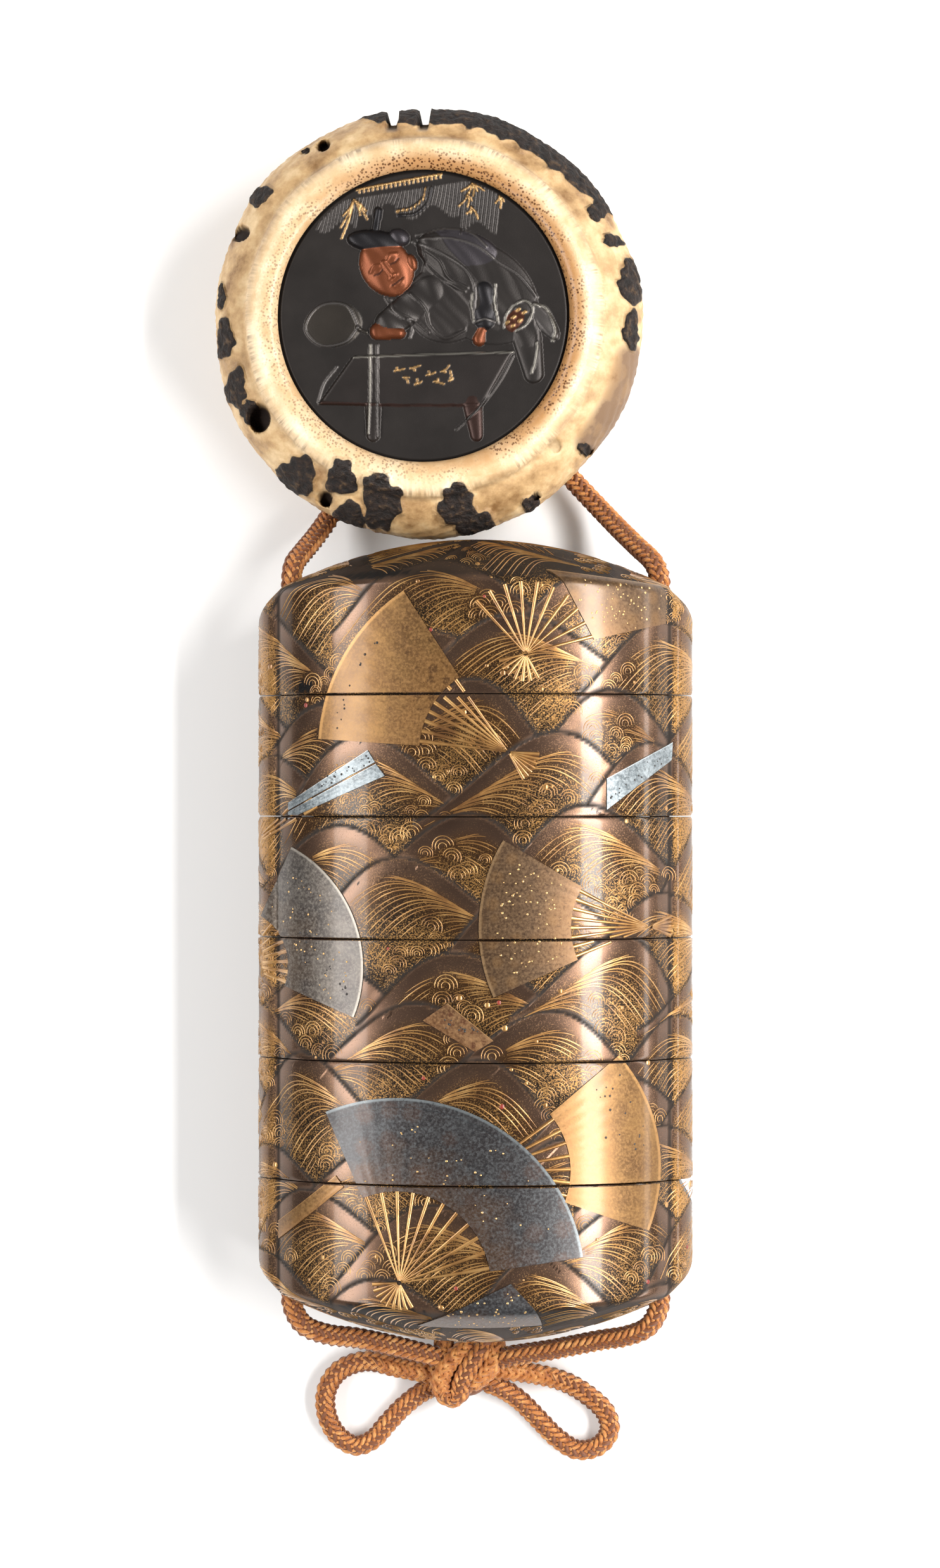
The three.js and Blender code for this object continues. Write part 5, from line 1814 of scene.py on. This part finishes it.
def build_knot():
    points, faces, phases = [], [], []
    total = 0
    for wrap in WRAPS:
        wrap_points, wrap_faces, wrap_phases = braid(smooth_through(wrap, PATH_STEP), False)
        faces += [[corner + total for corner in face] for face in wrap_faces]
        points.append(wrap_points)
        phases.append(wrap_phases)
        total += len(wrap_points)
    low, high = box_mm("bow_knot")
    centre, half = (low + high) / 2, (high - low) / 2 * [0.66, 0.5, 0.5]
    turn, lift = np.meshgrid(np.linspace(0, 2 * math.pi, CORE_TURNS, endpoint=False),
                             np.linspace(-math.pi / 2 + 0.1, math.pi / 2 - 0.1, CORE_RINGS))
    ball = np.stack([np.cos(lift) * np.cos(turn), np.cos(lift) * np.sin(turn), np.sin(lift)], axis=-1)
    faces += tube_faces(CORE_RINGS, CORE_TURNS, total)
    points.append((centre + ball * half - [0, 0, 0.5]).reshape(-1, 3))
    # the core ball of the knot takes the core's painted shade
    phases.append(np.full(turn.size, CORE_PHASE))
    piece = new_piece("bow_silk_knot", np.concatenate(points), faces, SILK)
    add_attributes(piece, thread=np.concatenate(phases))
    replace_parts(piece, "bow_knot")
    return piece


cord_piece("left_silk_cord", LEFT_RUN, "cord_left", 2, [build_knot()])
cord_piece("right_silk_cord", RIGHT_RUN, "cord_right", 2)
cord_piece("left_silk_bow", LEFT_BOW, "bow_left", 0)
cord_piece("right_silk_bow", RIGHT_BOW, "bow_right", 0)

# %% [markdown]
# ## Floor and light
#
# A pale table, and a long soft box on either side of the lens. On polished lacquer they
# give the two bright bands that run down the case, one left and one right of its middle,
# with the dark overhead between them. A third, slim box low on the right picks out the
# runner and the side of the netsuke.

# %% Floor and light
SOFT_WHITE = (1.0, 0.985, 0.965)
ROOM_STRENGTH = 0.36
LAMP_LENGTH = 0.7
FLOOR_HALF_SIZE = 3.0
FLOOR_DROP = 0.05 * MM
LAMP_DISTANCE = 0.6


def make_floor():
    mesh = bpy.data.meshes.new("floor")
    corners = [(x * FLOOR_HALF_SIZE, y * FLOOR_HALF_SIZE, -FLOOR_DROP)
               for x, y in ((-1, -1), (1, -1), (1, 1), (-1, 1))]
    mesh.from_pydata(corners, [], [(0, 1, 2, 3)])
    floor = bpy.data.objects.new("floor", mesh)
    bpy.context.scene.collection.objects.link(floor)
    card = bpy.data.materials.new("white card")
    card.use_nodes = True
    mesh.materials.append(finish_with(card, Base_Color="#f3f3f3", Roughness=0.7))


def soft_box(name, degrees, width, power):
    data = bpy.data.lights.new(name, "AREA")
    data.shape = "RECTANGLE"
    data.size, data.size_y, data.energy, data.color = width, LAMP_LENGTH, power, SOFT_WHITE
    lamp = bpy.data.objects.new(name, data)
    bpy.context.scene.collection.objects.link(lamp)
    angle = math.radians(degrees)
    away = Vector((math.sin(angle), 0, math.cos(angle)))
    lamp.location = Vector((0, VIEW_CENTRE.y, 0)) + away * LAMP_DISTANCE
    lamp.rotation_euler = (0, angle, 0)


def light_from_the_room():
    """A pale grey room, brighter overhead than at the table's height."""
    world = bpy.data.worlds.new("studio")
    bpy.context.scene.world = world
    world.use_nodes = True
    upward = node(world, "SeparateXYZ", {"Vector": node(world, "TexCoord", output="Generated")}, output="Z")
    dome = node(world, "ValToRGB", {"Fac": upward}, stops=[
        (0.0, "#85868a"), (0.35, "#c8c9cc"), (0.75, "#ffffff"), (1.0, "#b4b5b8")])
    background = world.node_tree.nodes["Background"]
    link_or_set(world, background.inputs["Color"], dome)
    background.inputs["Strength"].default_value = ROOM_STRENGTH


make_floor()
soft_box("left box", -45, 0.17, 3.6)
soft_box("right box", 39.5, 0.1, 6.6)
soft_box("low right box", 76, 0.05, 1.3)
light_from_the_room()
bpy.context.scene.view_settings.view_transform = "Standard"
print(len(bpy.data.lights), "lights")

# %% Finish
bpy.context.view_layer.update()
count = sum(len(face.vertices) - 2 for piece in bpy.data.objects if piece.type == "MESH"
            for face in piece.data.polygons)
print(count, "triangles in all")
